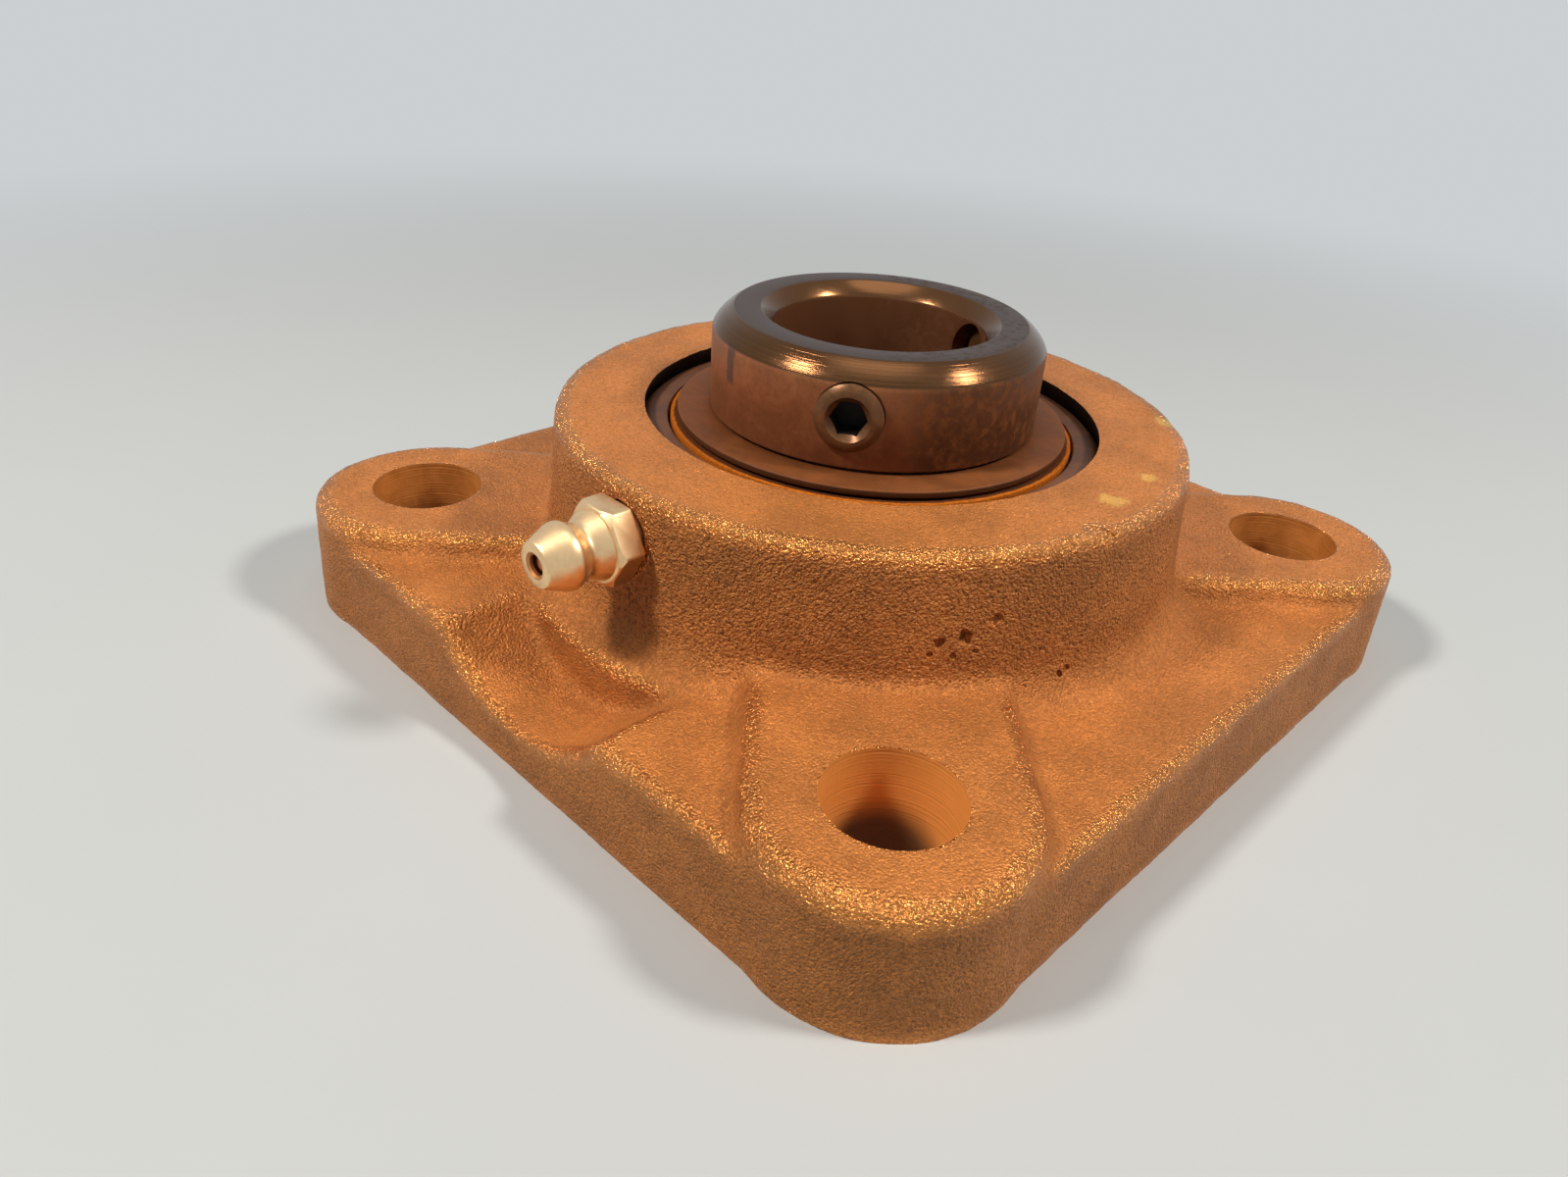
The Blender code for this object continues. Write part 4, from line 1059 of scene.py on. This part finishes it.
class BEARING_OT_balls_and_cage(bpy.types.Operator):
    """Makes the polished balls and finishes the cage and its rivets"""

    bl_idname = "bearing.balls_and_cage"
    bl_label = "Balls and cage"

    def execute(self, context):
        polished = turned_material("polished ball", (0.72, 0.70, 0.67), 0.16, 0.4 * MM, 0.03, 0.06)
        pressed = turned_material("pressed cage", (0.52, 0.50, 0.47), 0.36, 0.3 * MM, 0.15, 0.15)
        for number in range(1, 10):
            corners = [Vector(corner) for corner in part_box(f"ball_{number}")]
            ball = make_object(f"rolling_ball_{number}", ball_of(corners, 48, 24, BALL_RADIUS), [polished])
            fit_out(ball, f"ball_{number}", "bright_steel", f"ball_{number}")
            finish_node(f"cage_rivet_{number}", pressed)
        finish_node("cage_front", pressed)
        finish_node("cage_rear", pressed)
        return {"FINISHED"}


def fitting_body(settings, place):
    """The plated fitting: a turned body, a hexagon with trimmed corners, and a bore with its mouth."""
    base = settings.seat
    outline = in_mm((
        (0, -5), (2.6, -5), (3.1, -4.5), (3.1, -0.2), (3.4, 0), (3.4, 2.7), (3.12, 3.4), (2.78, 3.95),
        (2.64, 4.25), (2.62, 4.5), (2.72, 4.85), (3.0, 5.4), (3.2, 5.75), (3.25, 5.95), (3.24, 6.3),
        (3.15, 6.65), (3.02, 6.95), (2.26, 8.75), (2.15, 8.93), (2.02, 9.0), (0, 9.0),
    ), base)
    body = make_object("plated_fitting", placed(spun(outline, 96), place), [zinc_material(settings)])
    corner = settings.flats / sqrt(3)
    hexagon = cylinder(corner, base, base + 2.7 * MM, 6)
    break_edges(hexagon, 0.22 * MM, 3)
    nut = make_object("hexagon", placed(hexagon, place))
    wide = corner + 0.1 * MM
    trim = [(0, base - MM), (wide, base - MM), (wide, base + 2.0 * MM)] + in_mm(((3.55, 2.8), (0, 2.8)), base)
    settle(nut, [add_boolean(nut, placed(spun(trim, 96), place), "INTERSECT")])
    mouth = base + 8.5 * MM
    bore = in_mm(((0, -0.7), (1.6, -0.7)), base)
    bore += in_mm(((1.6, -0.6), (1.0, 0), (1.0, 0.3), (1.3, 0.55), (1.3, 2), (0, 2)), mouth)
    inlet = cylinder(0.75 * MM, base - 7 * MM, base + MM, 32)
    cutters = [placed(cutter, place) for cutter in (spun(bore, 64), inlet)]
    union = add_boolean(body, nut, "UNION")
    settle(body, [union] + [add_boolean(body, cutter) for cutter in cutters])
    return body


class BEARING_OT_fitting(bpy.types.Operator):
    """Makes the grease fitting with its hexagon, neck, coupler head, check ball and spring"""

    bl_idname = "bearing.fitting"
    bl_label = "Grease fitting"

    def execute(self, context):
        settings = context.scene.bearing_fitting
        place = spoke(-pi / 2, settings.height)
        fit_out(fitting_body(settings, place), "housing", "zinc_plate", "grease_fitting")
        low, high = (Vector(corner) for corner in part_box("check_ball"))
        red = turned_material("tarnished ball", (0.42, 0.14, 0.08), 0.3, 0.3 * MM, 0.05)
        ball = make_object("check_valve_ball", ball_of((low, high), 32, 16, (high.x - low.x) / 2), [red])
        fit_out(ball, "check_ball", "check_ball_steel", "check_ball")
        low, high = (Vector(corner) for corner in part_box("check_spring"))
        wire, turns = 0.18 * MM, 6
        winding = coil((high.x - low.x) / 2 - wire, wire, (high.y - low.y - 2 * wire) / turns, turns)
        seat = Matrix.Translation((0, 0, wire - high.y))
        spring_steel = turned_material("spring wire", (0.55, 0.53, 0.50), 0.3)
        spring = make_object("check_valve_spring", placed(winding, place @ seat), [spring_steel])
        fit_out(spring, "housing", "bright_steel", "check_spring")
        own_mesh(spring)
        return {"FINISHED"}


# The stage

def area_lamp(name, place, size, power):
    """A round, slightly warm lamp that points at the object."""
    lamp = bpy.data.lights.new(name, "AREA")
    lamp.shape = "DISK"
    lamp.size = size
    lamp.energy = power
    lamp.color = (1.0, 0.93, 0.84)
    obj = bpy.data.objects.new(name, lamp)
    obj.location = place
    target = Vector((0, 0, 0.01))
    obj.rotation_euler = (target - Vector(place)).to_track_quat("-Z", "Y").to_euler()
    bpy.context.scene.collection.objects.link(obj)


def seen_rays(shade):
    """1 for rays that show the background: straight to the eye, off metal or through glass."""
    path = shade.add("ShaderNodeLightPath").outputs
    mirrored = shade.most(path["Is Glossy Ray"], path["Is Transmission Ray"])
    return shade.most(path["Is Camera Ray"], mirrored)


def floor_material(settings):
    """Pale floor that keeps the shadow near the object and runs out into the backdrop's tone far away."""
    material, shade, shader = new_material("pale floor", 0.6, 0.0)
    place = shade.place()
    seen = seen_rays(shade)
    base = settings.floor
    soft = shade.mix(shade.noise(place, 30.0, 3.0), scaled(base, 0.98), scaled(base, 1.02))
    shade.put(shader["Base Color"], shade.mix(seen, (0.06, 0.13, 0.18), soft))
    distance = shade.vector_math("LENGTH", {0: place}, "Value")
    far = shade.times(shade.step(distance, 0.10, 0.32), seen)
    glow = shade.add("ShaderNodeEmission", {"Color": settings.backdrop, "Strength": 1.0})
    surface = material.node_tree.nodes["Principled BSDF"].outputs[0]
    mixed = shade.add("ShaderNodeMixShader", {0: far, 1: surface, 2: glow.outputs[0]})
    shade.put(material.node_tree.nodes["Material Output"].inputs["Surface"], mixed.outputs[0])
    return material


def studio_world(settings):
    """Soft light from all round, and the pale backdrop where it is seen."""
    world = bpy.data.worlds.new("studio")
    world.use_nodes = True
    shade = Shading(world.node_tree)
    background = world.node_tree.nodes["Background"].inputs
    soft_light = (0.045, 0.050, 0.058)
    shade.put(background["Color"], shade.mix(seen_rays(shade), soft_light, settings.backdrop))
    background["Strength"].default_value = 1.0
    return world


class BEARING_OT_stage(bpy.types.Operator):
    """Lays the pale floor and sets the lamps and the camera"""

    bl_idname = "bearing.stage"
    bl_label = "Stage"

    def execute(self, context):
        settings = context.scene.bearing_stage
        bm = bmesh.new()
        bmesh.ops.create_grid(bm, x_segments=1, y_segments=1, size=3.0)
        bmesh.ops.translate(bm, vec=(0, 0, -0.02 * MM), verts=bm.verts)
        floor = make_object("floor", bm, [floor_material(settings)])
        context.scene.world = studio_world(settings)
        area_lamp("right lamp", (0.290, 0.168, 0.382), 0.08, 1.46)
        area_lamp("left lamp", (-0.134, -0.301, 0.386), 0.08, 1.62)
        area_lamp("top lamp", (0.05, -0.05, 0.80), 0.50, 1.1)
        camera = bpy.data.cameras.new("camera")
        camera.lens = settings.focal
        camera.sensor_width = 36
        camera.clip_start = 0.001
        eye = bpy.data.objects.new("camera", camera)
        turn = Vector(settings.heading).to_track_quat("-Z", "Y") @ Quaternion((0, 0, 1), settings.roll)
        eye.location = settings.eye
        eye.rotation_euler = turn.to_euler()
        context.scene.collection.objects.link(eye)
        context.scene.camera = eye
        context.scene.view_settings.view_transform = "Standard"
        return {"FINISHED"}


class BEARING_PT_panel(bpy.types.Panel):
    """Lists the dresser's operators and settings"""

    bl_idname = "BEARING_PT_panel"
    bl_label = "Flange bearing"
    bl_space_type = "VIEW_3D"
    bl_region_type = "UI"
    bl_category = "Bearing"

    def draw(self, context):
        for operator in OPERATORS:
            self.layout.operator(operator.bl_idname)
        for name in SETTINGS:
            box = self.layout.box()
            group = getattr(context.scene, name)
            for prop in group.__annotations__:
                box.prop(group, prop)


OPERATORS = (
    BEARING_OT_stage, BEARING_OT_housing, BEARING_OT_outer_ring, BEARING_OT_inner_ring, BEARING_OT_set_screws,
    BEARING_OT_seals, BEARING_OT_balls_and_cage, BEARING_OT_fitting,
)
SETTINGS = {
    "bearing_casting": CastingSettings, "bearing_steel": SteelSettings,
    "bearing_fitting": FittingSettings, "bearing_stage": StageSettings,
}


def register():
    for cls in (*SETTINGS.values(), *OPERATORS, BEARING_PT_panel):
        bpy.utils.register_class(cls)
    for name, cls in SETTINGS.items():
        setattr(bpy.types.Scene, name, PointerProperty(type=cls))


def unregister():
    for name in SETTINGS:
        delattr(bpy.types.Scene, name)
    for cls in reversed((*SETTINGS.values(), *OPERATORS, BEARING_PT_panel)):
        bpy.utils.unregister_class(cls)


def main():
    register()
    bpy.ops.bearing.stage()
    bpy.ops.bearing.housing()
    bpy.ops.bearing.outer_ring()
    bpy.ops.bearing.inner_ring()
    bpy.ops.bearing.set_screws()
    bpy.ops.bearing.seals()
    bpy.ops.bearing.balls_and_cage()
    bpy.ops.bearing.fitting()


if __name__ == "__main__":
    main()
